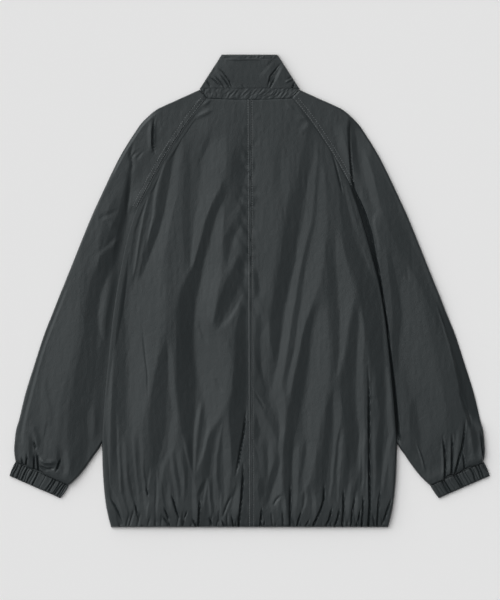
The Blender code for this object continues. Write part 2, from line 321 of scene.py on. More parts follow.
# How far the right edge is drawn in below the armpit, as amounts and drops.
EDGE_DRAWN_IN = ((0, 148), (4, 175), (7, 197), (8.5, 222), (8, 248), (6.5, 273), (4.5, 305), (3.5, 342),
                 (2.5, 393), (1.8, 480), (0, 600))
SLEEVE_LEAVES = 600 * MM
CENTRE_DRIFT = (0.4 * MM, 3.2 * MM)
FELL_HALF = 3.4 * MM
UPPER_SHARE = {LEFT: 0.80, RIGHT: 0.52}
UPPER_FOLDS_END = 90 * MM
UPPER_FOLDS_FADE = 290 * MM
RAGLAN_FLAT = 8 * MM
NECK_FLAT = 26 * MM
HEM_FLAT = 9 * MM
PANEL_CROWN = 1.2 * MM
HEM_PUFF_DROP = 712 * MM
EVEN_ROWS_END = 650 * MM
EVEN_ROW_STEP = 3.5 * MM
HEM_GRID_ROWS = 41
BACK_COLUMNS = 214

# Uneven waves: their height, their sizes across and down, and the seed they are drawn from.
Waves = namedtuple("Waves", "height across down seed")
FOLD_WANDER = Waves(0.9 * MM, 40 * MM, 34 * MM, 5)
FOLD_TREMOR = Waves(0.35 * MM, 9 * MM, 14 * MM, 4)
DROP_WANDER = Waves(2 * MM, 30 * MM, 40 * MM, 6)
BACK_STREAKS = Waves(0.08 * MM, 4.5 * MM, 28 * MM, 3)
BACK_DIMPLES = Waves(0.12 * MM, 5 * MM, 9 * MM, 7)
SEAM_PUCKER = {LEFT: Waves(1.5 * MM, 16 * MM, 6 * MM, 9), RIGHT: Waves(0.8 * MM, 16 * MM, 6 * MM, 10)}
PUCKER_SLANT = {LEFT: 0.8, RIGHT: -0.3}
PUCKER_CENTRE = 3 * MM
PUCKER_REACH = 10 * MM
REACH_WAVES = Waves(6 * MM, 1.0, 26 * MM, 11)
LEAST_PUCKER = 0.15
# Crumples that the centre seam draws into the left panel, past the puckers.
SEAM_CRUMPLE = Waves(1.3 * MM, 24 * MM, 13 * MM, 14)
CRUMPLE_SLANT = 1.1
CRUMPLE_CENTRE = 9 * MM
CRUMPLE_REACH = 13 * MM
# Where puckers show along the centre seam: their first drop, its fade, their last drop, its fade.
PUCKERED_DROPS = (50 * MM, 70 * MM, 400 * MM, 120 * MM)

# A ridge along a line has a height and a half width. A dent is a ridge that is taken away.
Ridge = namedtuple("Ridge", "height half")
HEM_PUFF = Ridge(1.4 * MM, 20 * MM)
FELL_RIDGE = Ridge(0.35 * MM, FELL_HALF)
CENTRE_ROW_DENT = Ridge(0.3 * MM, 0.9 * MM)
NECK_SEAM_DENT = Ridge(0.4 * MM, 1.6 * MM)
RIGHT_SEAM_DENT = Ridge(0.3 * MM, 1.4 * MM)
FLAT_TOP = 8

# A flank is the sloping side of a fold. Its lean is how steeply the cloth rises to the right, so a
# positive one faces the light. Its route gives, in millimetres, places across and down and the half
# width there.
Flank = namedtuple("Flank", "lean route")
BACK_FLANKS = (
    # Left panel, fan under the raglan seam
    Flank(-0.24, ((-161, 126, 2), (-170, 160, 4), (-178, 200, 4), (-186, 240, 3), (-203, 325, 1.5))),
    Flank(-0.20, ((-180, 168, 2), (-195, 215, 3), (-207, 300, 2))),
    Flank(0.36, ((-143, 98, 1.2), (-160, 150, 1.6), (-167, 200, 1.6), (-178, 256, 1.4))),
    Flank(0.36, ((-170, 150, 1.2), (-184, 205, 1.6), (-194, 262, 1.6), (-203, 318, 1.4))),
    Flank(-0.18, ((-175, 232, 1.2), (-184, 275, 1.6), (-194, 324, 1.2))),
    Flank(-0.10, ((-137, 260, 3), (-137, 295, 5), (-137, 330, 3))),
    Flank(-0.27, ((-124, 66, 2), (-137, 105, 6), (-147, 150, 8), (-156, 205, 8), (-168, 245, 7),
                  (-178, 275, 5), (-193, 320, 2))),
    Flank(0.16, ((-119, 78, 3), (-127, 120, 6), (-133, 165, 8), (-145, 220, 9), (-154, 255, 11),
                 (-164, 290, 14))),
    Flank(-0.14, ((-109, 62, 3), (-107, 110, 6), (-108, 165, 7), (-108, 240, 6), (-108, 296, 5))),
    Flank(0.18, ((-50, 62, 10), (-58, 105, 22), (-66, 145, 20), (-76, 180, 13), (-87, 220, 9),
                 (-94, 260, 6), (-102, 304, 1.5))),
    Flank(-0.12, ((-66, 52, 3), (-75, 80, 5), (-84, 108, 3))),
    Flank(-0.28, ((-40, 140, 3), (-51, 170, 9), (-64, 200, 8), (-76, 240, 8), (-86, 282, 8),
                  (-99, 320, 15), (-110, 360, 16), (-112, 430, 15), (-109, 490, 18), (-108, 555, 13),
                  (-104, 605, 6), (-100, 652, 2))),
    Flank(0.18, ((-46, 176, 3), (-53, 220, 8), (-59, 270, 14), (-64, 310, 18), (-72, 345, 17),
                 (-78, 385, 16), (-68, 412, 26), (-62, 450, 33), (-60, 495, 28), (-59, 535, 17),
                 (-66, 562, 8), (-73, 588, 2))),
    # Left panel, beside the centre seam
    Flank(-0.14, ((-18, 62, 5), (-18, 100, 11), (-20, 135, 13), (-20, 160, 7), (-18, 178, 2))),
    Flank(0.13, ((-10, 160, 3), (-20, 187, 5), (-33, 208, 5))),
    Flank(-0.20, ((-9, 184, 3), (-15, 208, 7), (-28, 228, 9), (-40, 250, 7), (-42, 288, 4))),
    Flank(0.13, ((-10, 218, 3), (-22, 245, 5), (-27, 268, 7), (-33, 290, 7), (-42, 314, 5))),
    Flank(-0.25, ((-10, 260, 4), (-17, 290, 10), (-25, 312, 15), (-36, 338, 14), (-47, 362, 12),
                  (-56, 385, 8), (-61, 408, 2))),
    Flank(0.24, ((-8, 328, 1.5), (-17, 350, 2.2), (-28, 372, 4), (-42, 388, 6), (-57, 403, 4))),
    Flank(-0.25, ((-9, 348, 3), (-13, 378, 7), (-16, 405, 11), (-16, 460, 11), (-18, 505, 13),
                  (-23, 540, 15), (-24, 575, 13), (-24, 605, 8), (-25, 642, 4))),
    # Left panel, lower half
    Flank(0.13, ((-168, 282, 14), (-176, 330, 33), (-177, 380, 34), (-180, 425, 28), (-186, 470, 22),
                 (-191, 520, 17), (-194, 560, 12), (-195, 588, 6))),
    Flank(0.16, ((-141, 406, 2), (-137, 440, 4), (-134, 490, 5), (-129, 540, 4), (-131, 575, 8),
                 (-135, 604, 7), (-144, 622, 4), (-151, 636, 4), (-155, 684, 3))),
    Flank(-0.18, ((-143, 410, 2), (-148, 445, 7), (-153, 485, 12), (-156, 530, 15), (-158, 570, 15),
                  (-162, 610, 10), (-166, 652, 4))),
    Flank(-0.13, ((-222, 345, 4), (-222, 400, 8), (-222, 460, 9), (-221, 540, 8), (-218, 602, 5))),
    Flank(0.22, ((-238, 350, 2), (-243, 420, 2.5), (-248, 500, 2.5), (-248, 625, 2))),
    Flank(0.20, ((-236, 420, 2), (-241, 520, 3), (-242, 620, 3), (-242, 684, 2))),
    Flank(-0.18, ((-232, 470, 4), (-234, 560, 5), (-232, 645, 4))),
    Flank(-0.20, ((-239, 560, 1.2), (-239.5, 636, 1.5), (-240, 676, 1.4))),
    Flank(0.28, ((-227, 560, 1.2), (-226, 610, 1.4), (-224, 655, 1.4), (-222.5, 690, 1.2))),
    Flank(-0.22, ((-222, 590, 1.5), (-220, 665, 2), (-216, 688, 2), (-210.5, 708, 2), (-203, 734, 1.5))),
    Flank(0.16, ((-217, 575, 3), (-216, 625, 3.5), (-213, 660, 3), (-208, 696, 2))),
    Flank(-0.24, ((-210, 614, 1.5), (-207.5, 655, 2), (-201, 688, 2), (-196, 708, 2), (-190, 730, 1.5))),
    Flank(0.20, ((-201, 572, 2.5), (-200, 613, 2), (-196, 640, 2), (-193, 675, 2), (-190, 704, 2))),
    Flank(-0.16, ((-195, 584, 1.6), (-193, 640, 1.8), (-191, 670, 1.5))),
    Flank(0.17, ((-188, 566, 4), (-186, 615, 2.6), (-184, 650, 2.6), (-180, 690, 3), (-178, 722, 3))),
    Flank(-0.30, ((-184, 626, 1.2), (-180, 655, 1.7), (-173, 686, 1.2))),
    Flank(0.30, ((-170, 636, 1.1), (-174.5, 668, 1.3), (-174, 688, 1.1))),
    Flank(0.34, ((-173, 690, 1.1), (-176, 710, 1.4), (-178.5, 728, 1.1))),
    Flank(0.30, ((-160.5, 636, 1.1), (-159, 665, 1.4), (-159, 732, 1.4))),
    Flank(-0.25, ((-163.5, 650, 1), (-163, 700, 1.3), (-162, 736, 1.2))),
    Flank(-0.26, ((-152, 658, 1.3), (-147, 696, 1.7), (-139, 728, 1.6))),
    Flank(0.18, ((-141, 654, 2), (-139, 686, 3.2), (-135, 720, 2))),
    Flank(0.20, ((-137, 602, 3), (-134, 636, 3), (-131, 653, 3), (-128, 674, 3), (-124, 708, 2))),
    Flank(-0.17, ((-130, 610, 2), (-125, 648, 3), (-121, 672, 2.6), (-118, 700, 2))),
    Flank(0.19, ((-126, 596, 3), (-121, 628, 4.5), (-116.5, 645, 5), (-116, 668, 4), (-117, 702, 2.5))),
    Flank(-0.20, ((-113, 596, 3), (-111, 625, 3.5), (-109, 650, 3.5), (-109, 686, 3))),
    Flank(0.32, ((-116, 576, 1.3), (-110, 607, 1.6), (-105, 627, 1.6), (-97, 656, 1.2))),
    Flank(-0.22, ((-105, 580, 3.5), (-102, 612, 3.2), (-99, 640, 1.5))),
    Flank(0.24, ((-84, 518, 3), (-91, 555, 3), (-95.5, 606, 1.7), (-95, 656, 1.5))),
    Flank(-0.22, ((-80, 526, 3), (-83, 565, 4), (-89, 602, 2.4), (-93.5, 638, 1.2))),
    Flank(0.22, ((-68, 556, 2.5), (-76, 588, 3), (-80.5, 607, 2.6), (-87, 629, 2), (-95, 656, 1.3))),
    Flank(0.18, ((-97, 648, 2.5), (-96, 676, 4), (-95, 700, 4), (-93, 720, 4.5), (-92, 738, 5))),
    Flank(-0.20, ((-58, 556, 3), (-65, 585, 6), (-72, 615, 8), (-75, 640, 8), (-76, 664, 5))),
    Flank(0.26, ((-72, 650, 1.1), (-76, 676, 1.7), (-81, 706, 1.6))),
    Flank(0.28, ((-72, 650, 1.1), (-69.8, 688, 1.4), (-65, 730, 1.3))),
    Flank(-0.26, ((-68, 648, 2), (-65.5, 688, 2.6), (-61, 726, 2.2))),
    Flank(-0.16, ((-73, 668, 1), (-74.5, 700, 3), (-74, 730, 3))),
    Flank(-0.50, ((-77, 655, 2), (-82, 669, 4), (-90, 688, 2))),
    Flank(0.16, ((-44, 546, 2), (-52, 578, 3), (-58, 615, 3), (-60, 650, 3.5), (-58, 690, 4),
                 (-55, 722, 3))),
    Flank(-0.20, ((-48, 572, 2), (-53, 620, 3.6), (-52.5, 655, 3), (-51, 688, 2))),
    Flank(0.25, ((-50.5, 672, 1), (-50, 726, 1.2))),
    Flank(0.17, ((-41, 546, 4), (-39, 600, 7.5), (-37, 640, 7), (-40, 670, 4), (-43, 710, 3))),
    Flank(-0.26, ((-20, 656, 1.5), (-29, 682, 2.2), (-36.5, 697, 2.2), (-46, 728, 2))),
    Flank(0.18, ((-19, 658, 2), (-23, 685, 6), (-25, 705, 7), (-24, 732, 5))),
    Flank(0.30, ((-46, 718, 2), (-48.5, 731, 4), (-49, 741, 4))),
    Flank(0.26, ((-240, 664, 1.2), (-233, 684, 1.6), (-225, 702, 1.7), (-215, 737, 1.4))),
    Flank(-0.24, ((-248, 668, 1.5), (-243, 682, 1.8), (-233, 700, 2), (-218, 732, 1.6))),
    Flank(-0.20, ((-243, 684, 1.3), (-231, 713, 1.8), (-225, 741, 1.5))),
    # Right panel, fan under the raglan seam
    Flank(0.08, ((22, 58, 12), (26, 130, 18), (28, 190, 21), (28, 250, 21), (27, 300, 14),
                 (26, 348, 7))),
    Flank(-0.09, ((52, 60, 3), (50, 95, 5), (46, 135, 6), (40, 172, 4))),
    Flank(0.10, ((62, 88, 6), (62, 140, 10), (56, 184, 6))),
    Flank(-0.24, ((107, 46, 2), (101, 80, 9), (97, 118, 11), (89, 150, 10), (79, 182, 13), (73, 215, 14),
                  (67, 255, 13), (61, 300, 14), (52, 342, 12), (46, 380, 11), (43, 418, 9),
                  (46, 462, 3))),
    Flank(0.18, ((113, 74, 2), (113, 110, 4), (107, 145, 7), (103, 200, 8), (93, 235, 8), (85, 280, 6),
                 (77, 322, 6), (70, 360, 7), (63, 402, 7), (56, 445, 7), (50, 482, 8), (44, 512, 8))),
    Flank(-0.13, ((117, 68, 2), (119, 105, 3), (116, 160, 4), (110, 210, 4), (98, 262, 4), (88, 322, 4),
                  (79, 380, 5), (70, 440, 5), (62, 494, 3))),
    Flank(0.15, ((124, 106, 3), (125, 165, 8), (121, 225, 11), (115, 282, 14), (106, 325, 15),
                 (97, 362, 9), (87, 400, 5), (79, 445, 5), (70, 485, 5), (63, 527, 3))),
    Flank(-0.13, ((122, 70, 2), (127, 100, 3), (135, 140, 4), (141, 178, 4))),
    Flank(0.16, ((105, 54, 1.5), (105, 85, 2), (104, 118, 1.5))),
    Flank(0.18, ((186, 240, 1.3), (200, 278, 1.8), (213, 312, 1.4))),
    Flank(-0.18, ((163, 144, 1.3), (177, 180, 1.8), (188, 222, 1.4))),
    Flank(-0.13, ((135, 232, 4), (138, 280, 7), (142, 335, 9), (147, 395, 7), (149, 440, 5),
                  (149, 480, 2))),
    Flank(-0.24, ((115, 348, 2), (106, 380, 6), (97, 415, 8), (91, 460, 10), (84, 500, 11),
                  (76, 540, 11),
                  (69, 585, 9), (66, 630, 8), (66, 670, 7), (68, 700, 5), (70, 741, 3))),
    Flank(-0.12, ((71, 580, 3), (71, 650, 3), (70.5, 693, 3), (70, 741, 2.5))),
    Flank(0.14, ((127, 350, 5), (124, 395, 12), (122, 450, 17), (118, 500, 19), (110, 540, 18),
                 (107, 580, 13), (106, 612, 9), (102, 643, 8), (96, 668, 5), (88, 688, 2))),
    Flank(-0.21, ((144, 100, 2), (151, 130, 4), (158, 160, 6), (164, 200, 8), (171, 240, 11),
                  (181, 280, 14),
                  (200, 318, 18), (207, 350, 20), (214, 390, 19), (220, 450, 13), (223, 520, 10),
                  (223, 590, 8), (222, 642, 4))),
    Flank(0.16, ((160, 138, 2), (170, 180, 3), (180, 212, 3), (190, 245, 3))),
    Flank(-0.18, ((184, 354, 3), (179, 395, 7), (174, 455, 9), (166, 495, 13), (172, 535, 11),
                  (175, 590, 11), (176, 648, 7))),
    Flank(0.16, ((151, 222, 4), (156, 265, 7), (161, 300, 11), (168, 340, 14), (163, 385, 8),
                 (159, 440, 5), (150, 489, 2))),
    Flank(0.18, ((190, 356, 2), (193, 400, 5), (190, 455, 6), (190, 515, 7), (193, 570, 5),
                 (193, 648, 3))),
    # Right panel, lower half
    Flank(-0.20, ((144, 500, 2), (137, 535, 6), (135, 570, 7), (131, 605, 7), (129, 640, 5),
                  (126, 690, 3.5))),
    Flank(0.18, ((147, 497, 2), (152, 525, 8), (151, 560, 6), (146, 595, 3), (142, 636, 2.5),
                 (141, 665, 2.5),
                 (136, 700, 2))),
    Flank(0.20, ((160, 566, 3), (155, 600, 3.6), (154, 650, 3), (153, 672, 1.8), (152, 708, 1.5))),
    Flank(-0.18, ((157, 562, 2), (150, 600, 2.4), (148, 632, 2.2), (146, 676, 2))),
    Flank(0.15, ((213, 458, 3), (214, 510, 4), (219, 545, 7), (214, 585, 4), (215.5, 640, 3),
                 (213, 706, 2.5))),
    Flank(0.18, ((235, 453, 2), (240, 520, 4), (243, 580, 5), (237, 618, 4), (231, 650, 3.4),
                 (228, 688, 2))),
    Flank(0.14, ((244, 600, 3), (243, 640, 4), (242, 694, 4))),
    Flank(-0.15, ((225, 590, 3), (224, 630, 4), (223, 674, 3))),
    Flank(0.15, ((81, 590, 5), (79, 657, 6), (77.5, 693, 5), (75, 732, 3))),
    Flank(-0.19, ((98, 576, 2), (94, 613, 3), (89, 643, 2.7), (84, 678, 1.8))),
    Flank(0.26, ((94, 660, 1.2), (97.5, 688, 1.9), (95, 704, 1.9), (86, 722, 1.2))),
    Flank(-0.20, ((95, 674, 1.6), (92, 695, 2), (88, 714, 1.6))),
    Flank(0.18, ((109, 668, 3), (112, 700, 4), (110, 732, 3))),
    Flank(-0.15, ((117, 594, 3), (120, 630, 7), (118, 660, 7), (112, 688, 4))),
    Flank(-0.14, ((166, 590, 4), (168, 640, 6), (163, 676, 4))),
    Flank(0.18, ((175, 652, 2.5), (169, 692, 4), (166, 730, 3))),
    Flank(-0.24, ((188, 646, 2), (181, 688, 2.5), (177, 711, 2.3), (175.5, 737, 2))),
    Flank(0.18, ((187, 672, 3), (182, 705, 4), (179, 732, 3))),
    Flank(0.20, ((189.5, 560, 1.5), (189.5, 650, 1.7))),
    Flank(-0.20, ((193.5, 606, 1.3), (193, 640, 1.4), (191, 674, 1.3))),
    Flank(0.20, ((196, 560, 2), (197, 643, 2), (194, 688, 1.8))),
    Flank(0.20, ((202.5, 630, 1.6), (202, 700, 1.7))),
    Flank(-0.20, ((8, 604, 1.3), (12, 620, 2), (17, 638, 1.2))),
    Flank(-0.18, ((26, 582, 3), (27, 625, 4), (31, 660, 3))),
    Flank(0.14, ((36.5, 588, 4), (36, 630, 4), (32, 660, 1.6))),
    Flank(-0.18, ((44, 600, 3), (48, 628, 5), (40, 652, 6), (30, 688, 4), (22, 714, 2))),
    Flank(0.20, ((45, 486, 10), (46, 512, 14), (55, 535, 7), (57, 570, 4), (53, 602, 4), (55, 630, 1.6),
                 (52, 650, 4), (49, 672, 8), (45, 690, 9), (39, 712, 8))),
    Flank(0.24, ((57, 680, 2), (59, 696, 4), (60, 722, 3))),
    Flank(-0.24, ((9, 436, 2), (17, 470, 4), (27, 506, 2))),
    # Right panel, beside the centre seam
    Flank(-0.24, ((10, 288, 3), (13, 330, 6), (10, 352, 4))),
    Flank(0.22, ((8, 344, 3), (13, 362, 7), (20, 380, 4))),
    Flank(-0.25, ((11, 372, 4), (20, 395, 7), (12, 420, 4))),
    Flank(-0.15, ((11, 412, 4), (13, 450, 5), (15, 494, 5))),
    Flank(0.12, ((26, 356, 5), (26, 420, 8), (27, 482, 7))),
    Flank(-0.20, ((14, 496, 4), (28, 530, 8), (42, 560, 8), (51, 592, 3))),
    Flank(0.18, ((12, 530, 4), (22, 557, 8), (36, 582, 9), (48, 612, 6))),
    Flank(-0.28, ((10, 546, 3), (13, 572, 7), (11, 600, 3))),
    Flank(-0.24, ((20, 648, 4), (21, 672, 7), (22, 698, 3))),
    # Both panels, just under the neck and raglan seams
    Flank(0.14, ((-92, 30, 5), (-82, 44, 9), (-70, 58, 6))),
    Flank(0.12, ((96, 36, 8), (94, 58, 6), (86, 70, 4))),
)

# A groove is a narrow crease: its route across and down, its half width and its depth, in millimetres.
Groove = namedtuple("Groove", "route width depth")
BACK_GROOVES = (
    Groove(((-4.5, 528), (-7, 554), (-10.5, 581), (-15, 606), (-19, 630), (-25, 656)), 1.9, 4.0),
    Groove(((-10, 622), (-11.5, 665), (-13.6, 693), (-19, 741)), 1.8, 4.6),
    Groove(((-28, 680), (-37, 697), (-47, 724)), 1.6, 1.7),
    Groove(((-85, 688), (-86, 711), (-88, 742)), 1.7, 4.6),
    Groove(((-135, 680), (-130, 696), (-126, 711), (-120, 727)), 1.4, 4.0),
    Groove(((-148, 702), (-143, 715), (-138, 730)), 1.3, 3.0),
    Groove(((-150, 720), (-137, 736)), 1.6, 3.0),
    Groove(((-112, 724), (-114, 741)), 1.3, 3.0),
    Groove(((-106, 711), (-113, 727)), 1.2, 2.4),
    Groove(((-99, 724), (-90, 741)), 1.3, 3.2),
    Groove(((-69, 722), (-65, 735)), 1.4, 3.0),
    Groove(((-48, 726), (-42, 741)), 1.3, 3.0),
    Groove(((-31, 718), (-27, 741)), 1.3, 3.0),
    Groove(((-178, 668), (-174, 688)), 1.3, 2.4),
    Groove(((-198, 694), (-190, 730)), 1.3, 2.6),
    Groove(((-247, 674), (-231, 703), (-217, 732)), 1.3, 2.4),
    Groove(((-186, 384), (-180.5, 435), (-175.5, 476), (-175, 524)), 1.6, 0.9),
    Groove(((-61, 482), (-53, 495), (-46, 507)), 2.2, 0.9),
    Groove(((7, 504), (17, 520), (28, 538)), 1.5, 1.9),
    Groove(((-89, 376), (-79, 412), (-69, 427)), 3.2, 0.8),
    Groove(((-76, 348), (-72, 378)), 3.0, 0.4),
    Groove(((22, 704), (18, 741)), 1.4, 3.6),
    Groove(((57, 684), (52, 687), (46, 693), (40, 703)), 1.6, 1.4),
    Groove(((70.5, 660), (70, 700), (70, 741)), 1.7, 3.4),
    Groove(((91, 710), (85, 726), (81, 741)), 1.3, 3.6),
    Groove(((104, 726), (95, 741)), 1.3, 3.0),
    Groove(((129, 660), (128, 693), (123.5, 708), (115, 727), (108, 741)), 1.7, 4.6),
    Groove(((143, 704), (137, 727), (130, 741)), 1.4, 4.0),
    Groove(((156, 706), (151, 727), (145.5, 741)), 1.4, 4.0),
    Groove(((162, 670), (162, 708), (159.5, 741)), 1.6, 4.2),
    Groove(((183, 684), (177, 711), (175, 737)), 1.3, 3.2),
    Groove(((196, 682), (195, 712), (193, 741)), 1.3, 3.6),
    Groove(((192, 706), (184, 741)), 1.3, 3.4),
    Groove(((203, 448), (206, 500), (206, 560), (206.5, 640), (207.5, 700), (205, 741)), 1.9, 5.0),
    Groove(((226, 672), (222, 701), (219.5, 741)), 1.4, 3.6),
    Groove(((247, 686), (237, 711), (227, 741)), 1.5, 3.6),
    Groove(((212, 716), (216, 741)), 1.2, 2.6),
    Groove(((27, 728), (24, 741)), 1.4, 2.6),
    Groove(((183, 521), (205, 519), (236, 516)), 1.4, 0.35),
    Groove(((142, 92), (150, 120), (156, 146), (161, 168)), 1.8, 2.0),
    # Short ridges under the neck and raglan seams; their depth is negative
    Groove(((-66, 5), (-81, 13)), 2.4, -1.1),
    Groove(((-60, 20), (-96, 35)), 3.2, -1.2),
    Groove(((64, 14), (76, 18)), 2.6, -0.8),
    Groove(((78, 37), (102, 35)), 2.8, -1.0),
    Groove(((106, 42), (94, 55), (83, 62)), 2.8, -1.0),
    Groove(((8, 34), (21, 29)), 2.4, -0.5),
    Groove(((8, 83), (21, 80)), 2.4, -0.5),
)
SMALL_GATHERS = 20
GATHER_SEED = {LEFT: 41, RIGHT: 43}
HEM_REACH = 735
MAP_STEP = 1.0 * MM
MAP_ACROSS = np.arange(-0.440, 0.440, MAP_STEP)
MAP_DOWN = np.arange(-0.110, 0.790, MAP_STEP)
DOWN_STIFFNESS = 1.0
SHARP_DEPTH = 1.7
STEEP_WALL = 0.8
SLACK_WALL = 1.65
FLANK_CRISPNESS = 10
SHADE_SHARE = 0.85
LIGHT_SHARE = 1.2


def route_place(route, at, column):
    """A route's column at the given drops, in metres; the drops run down the route's second column."""
    table = np.array(route, float) * MM
    return np.interp(at, table[:, 1], table[:, column])


def fold_map(flanks):
    """Heights of the smooth surface that leans most nearly as a table of flanks says, on an even grid.

    The surface is the least-squares one, found by Fourier transform: its slope across follows the
    flanks, and its slope down stays small.
    """
    lean = np.zeros((len(MAP_DOWN), len(MAP_ACROSS)))
    for flank in flanks:
        first, last = flank.route[0][1] * MM, flank.route[-1][1] * MM
        rows = slice(*np.searchsorted(MAP_DOWN, (first, last)))
        drop = MAP_DOWN[rows, None]
        fade = min(0.3 * (last - first), 24 * MM)
        shown = ease((drop - first) / fade)
        if flank.route[-1][1] < HEM_REACH:
            shown = shown * ease((last - drop) / fade)
        offset = (MAP_ACROSS - route_place(flank.route, drop, 0)) / route_place(flank.route, drop, 2)
        tilt = flank.lean * (SHADE_SHARE if flank.lean < 0.0 else LIGHT_SHARE)
        lean[rows] += tilt * shown * np.exp(-offset ** FLANK_CRISPNESS)
    turn_across = 2.0 * math.pi * np.fft.fftfreq(len(MAP_ACROSS), MAP_STEP)[None, :]
    turn_down = 2.0 * math.pi * np.fft.fftfreq(len(MAP_DOWN), MAP_STEP)[:, None]
    stiffness = turn_across ** 2 + DOWN_STIFFNESS * turn_down ** 2
    stiffness[0, 0] = 1.0
    return np.real(np.fft.ifft2(-1j * turn_across * np.fft.fft2(lean) / stiffness))


def map_height(heights, x, drop):
    """Height of a fold map at places across and down, between its grid's points."""
    column = np.clip((x - MAP_ACROSS[0]) / MAP_STEP, 0.0, len(MAP_ACROSS) - 1.001)
    row = np.clip((drop - MAP_DOWN[0]) / MAP_STEP, 0.0, len(MAP_DOWN) - 1.001)
    left, upper = column.astype(int), row.astype(int)
    right_share, lower_share = column - left, row - upper
    above = heights[upper, left] * (1.0 - right_share) + heights[upper, left + 1] * right_share
    below = heights[upper + 1, left] * (1.0 - right_share) + heights[upper + 1, left + 1] * right_share
    return above * (1.0 - lower_share) + below * lower_share


def press_grooves(x, drop, grooves):
    """Heights of narrow creases: deep ones have straight walls, the right one steeper, and shallow ones
    are soft troughs or, with a negative depth, ridges.
    """
    depth = np.zeros_like(x)
    for groove in grooves:
        points = np.array(groove.route, float) * MM
        lengths = np.linalg.norm(np.diff(points, axis=0), axis=1)
        whole, run = lengths.sum(), 0.0
        nearest = np.full_like(x, 1.0)
        along = np.zeros_like(x)
        to_right = np.zeros_like(x, dtype=bool)
        for start, step, length in zip(points[:-1], np.diff(points, axis=0), lengths):
            along_step = (x - start[0]) * step[0] + (drop - start[1]) * step[1]
            share = np.clip(along_step / length ** 2, 0.0, 1.0)
            distance = np.hypot(x - start[0] - share * step[0], drop - start[1] - share * step[1])
            closer = distance < nearest
            along = np.where(closer, (run + share * length) / whole, along)
            turned = step[0] * (drop - start[1]) < step[1] * (x - start[0])
            to_right = np.where(closer, turned, to_right)
            nearest = np.minimum(nearest, distance)
            run += length
        width = groove.width * MM
        opened = groove.depth * MM * ease(along / 0.4)
        if groove.route[-1][1] < HEM_REACH:
            opened = opened * ease((1.0 - along) / 0.3)
        if groove.depth > SHARP_DEPTH:
            wall = width * np.where(to_right, STEEP_WALL, SLACK_WALL)
            depth -= opened * np.clip(1.0 - nearest / wall, 0.0, 1.0)
        else:
            depth -= opened * np.exp(-(nearest / width) ** 2)
    return depth


def round_off(distance, radius):
    """Rises from 0 at an edge to 1 at the radius, in the curve of a quarter of an ellipse."""
    return np.sqrt(1.0 - (1.0 - np.clip(distance / radius, 0.0, 1.0)) ** 2)


def small_gathers(side, count, seed):
    """Short uneven creases that run up from the hem, drawn once from a fixed seed."""
    draw = np.random.default_rng(seed)
    made = []
    for number in range(count):
        foot = side * (8.0 + 226.0 * (number + draw.uniform(0.1, 0.9)) / count)
        length = 5.0 + 30.0 * draw.uniform() ** 2
        tip = foot - 0.04 * foot * length / 30.0 + draw.uniform(-4.0, 4.0)
        route = ((tip, 740.0 - length), (foot, 741.0))
        made.append(Groove(route, draw.uniform(1.1, 1.6), draw.uniform(0.7, 1.7)))
    return tuple(made)


def centre_line(drop):
    """The centre seam's place across: it drifts a little to the right on its way down."""
    return CENTRE_DRIFT[0] + (CENTRE_DRIFT[1] - CENTRE_DRIFT[0]) * drop / BODY_LENGTH


def sew(name, rows, finish):
    """Rows of topstitching as one mesh, with a short spindle of thread for each stitch."""
    ring = np.linspace(0.0, 2.0 * math.pi, 6)[:-1]
    tips = [(-0.5, 0.0, 0.0), (0.5, 0.0, 0.0)]
    rings = [(place, math.cos(turn), math.sin(turn)) for place in (-0.28, 0.28) for turn in ring]
    spindle = np.array(tips + rings) * (STITCH_LENGTH, THREAD_HALF, THREAD_HALF)
    faces = []
    for turn in range(5):
        after = (turn + 1) % 5
        faces += [(0, 2 + after, 2 + turn, 2 + turn), (1, 7 + turn, 7 + after, 7 + after)]
        faces.append((2 + turn, 2 + after, 7 + after, 7 + turn))
    points, corners = [], []
    for path in rows:
        run = np.concatenate(([0.0], np.cumsum(np.linalg.norm(np.diff(path, axis=0), axis=1))))
        for at in np.arange(0.5 * STITCH_PITCH, run[-1], STITCH_PITCH):
            behind, ahead = (
                np.array([np.interp(at + reach, run, path[:, axis]) for axis in range(3)])
                for reach in (-0.5 * STITCH_LENGTH, 0.5 * STITCH_LENGTH)
            )
            along = (ahead - behind) / np.linalg.norm(ahead - behind)
            beside = np.cross((0.0, 0.0, 1.0), along)
            beside /= np.linalg.norm(beside)
            frame_axes = np.stack((along, beside, np.cross(along, beside)))
            base = len(points)
            points.extend((0.5 * (ahead + behind) + spindle @ frame_axes).tolist())
            corners.extend([tuple(dict.fromkeys(base + corner for corner in face)) for face in faces])
    mesh = bpy.data.meshes.new(name)
    mesh.from_pydata(points, [], corners)
    mesh.shade_smooth()
    mesh.materials.append(finish)
    stitches = show(name, mesh)
    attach(stitches, "root")


def thread_finish(name):
    """Twisted polyester thread, a little paler and glossier than the satin."""
    material, shader, dye = new_finish(name)
    place = dye.node("ShaderNodeTexCoord", {}, {}, "Object")
    fibre = dye.noise(place, 900.0, 2.0)
    feed(shader, "Base Color", dye.between(fibre, THREAD_DEEP, THREAD_PALE))
    feed(shader, "Roughness", 0.42 + 0.16 * fibre)
    return material


def bell(offset, half, power=2):
    """1 at no offset and nearly 0 well past the half width; a high power gives a flat top."""
    return np.exp(-(offset / half) ** power)


def ridge_height(ridge, offset, power=2):
    """Height of a ridge at an offset from its line."""
    return ridge.height * bell(offset, ridge.half, power)


def wave_height(waves, x, drop):
    """Height of uneven waves at places across and down."""
    return waves.height * mottle(x, drop, waves.across, waves.down, waves.seed)


def fade_in_out(at, first, first_fade, last, last_fade):
    """1 between two places and 0 outside them, with a gentle fade at each."""
    return ease((at - first) / first_fade) * ease((last - at) / last_fade)


def sewn_share(side, drop):
    """1 where the raglan seam is sewn flat and 0 below the armpit."""
    return 1.0 - ease((drop - ARMPIT_DROP[side] + 20 * MM) / (30 * MM))


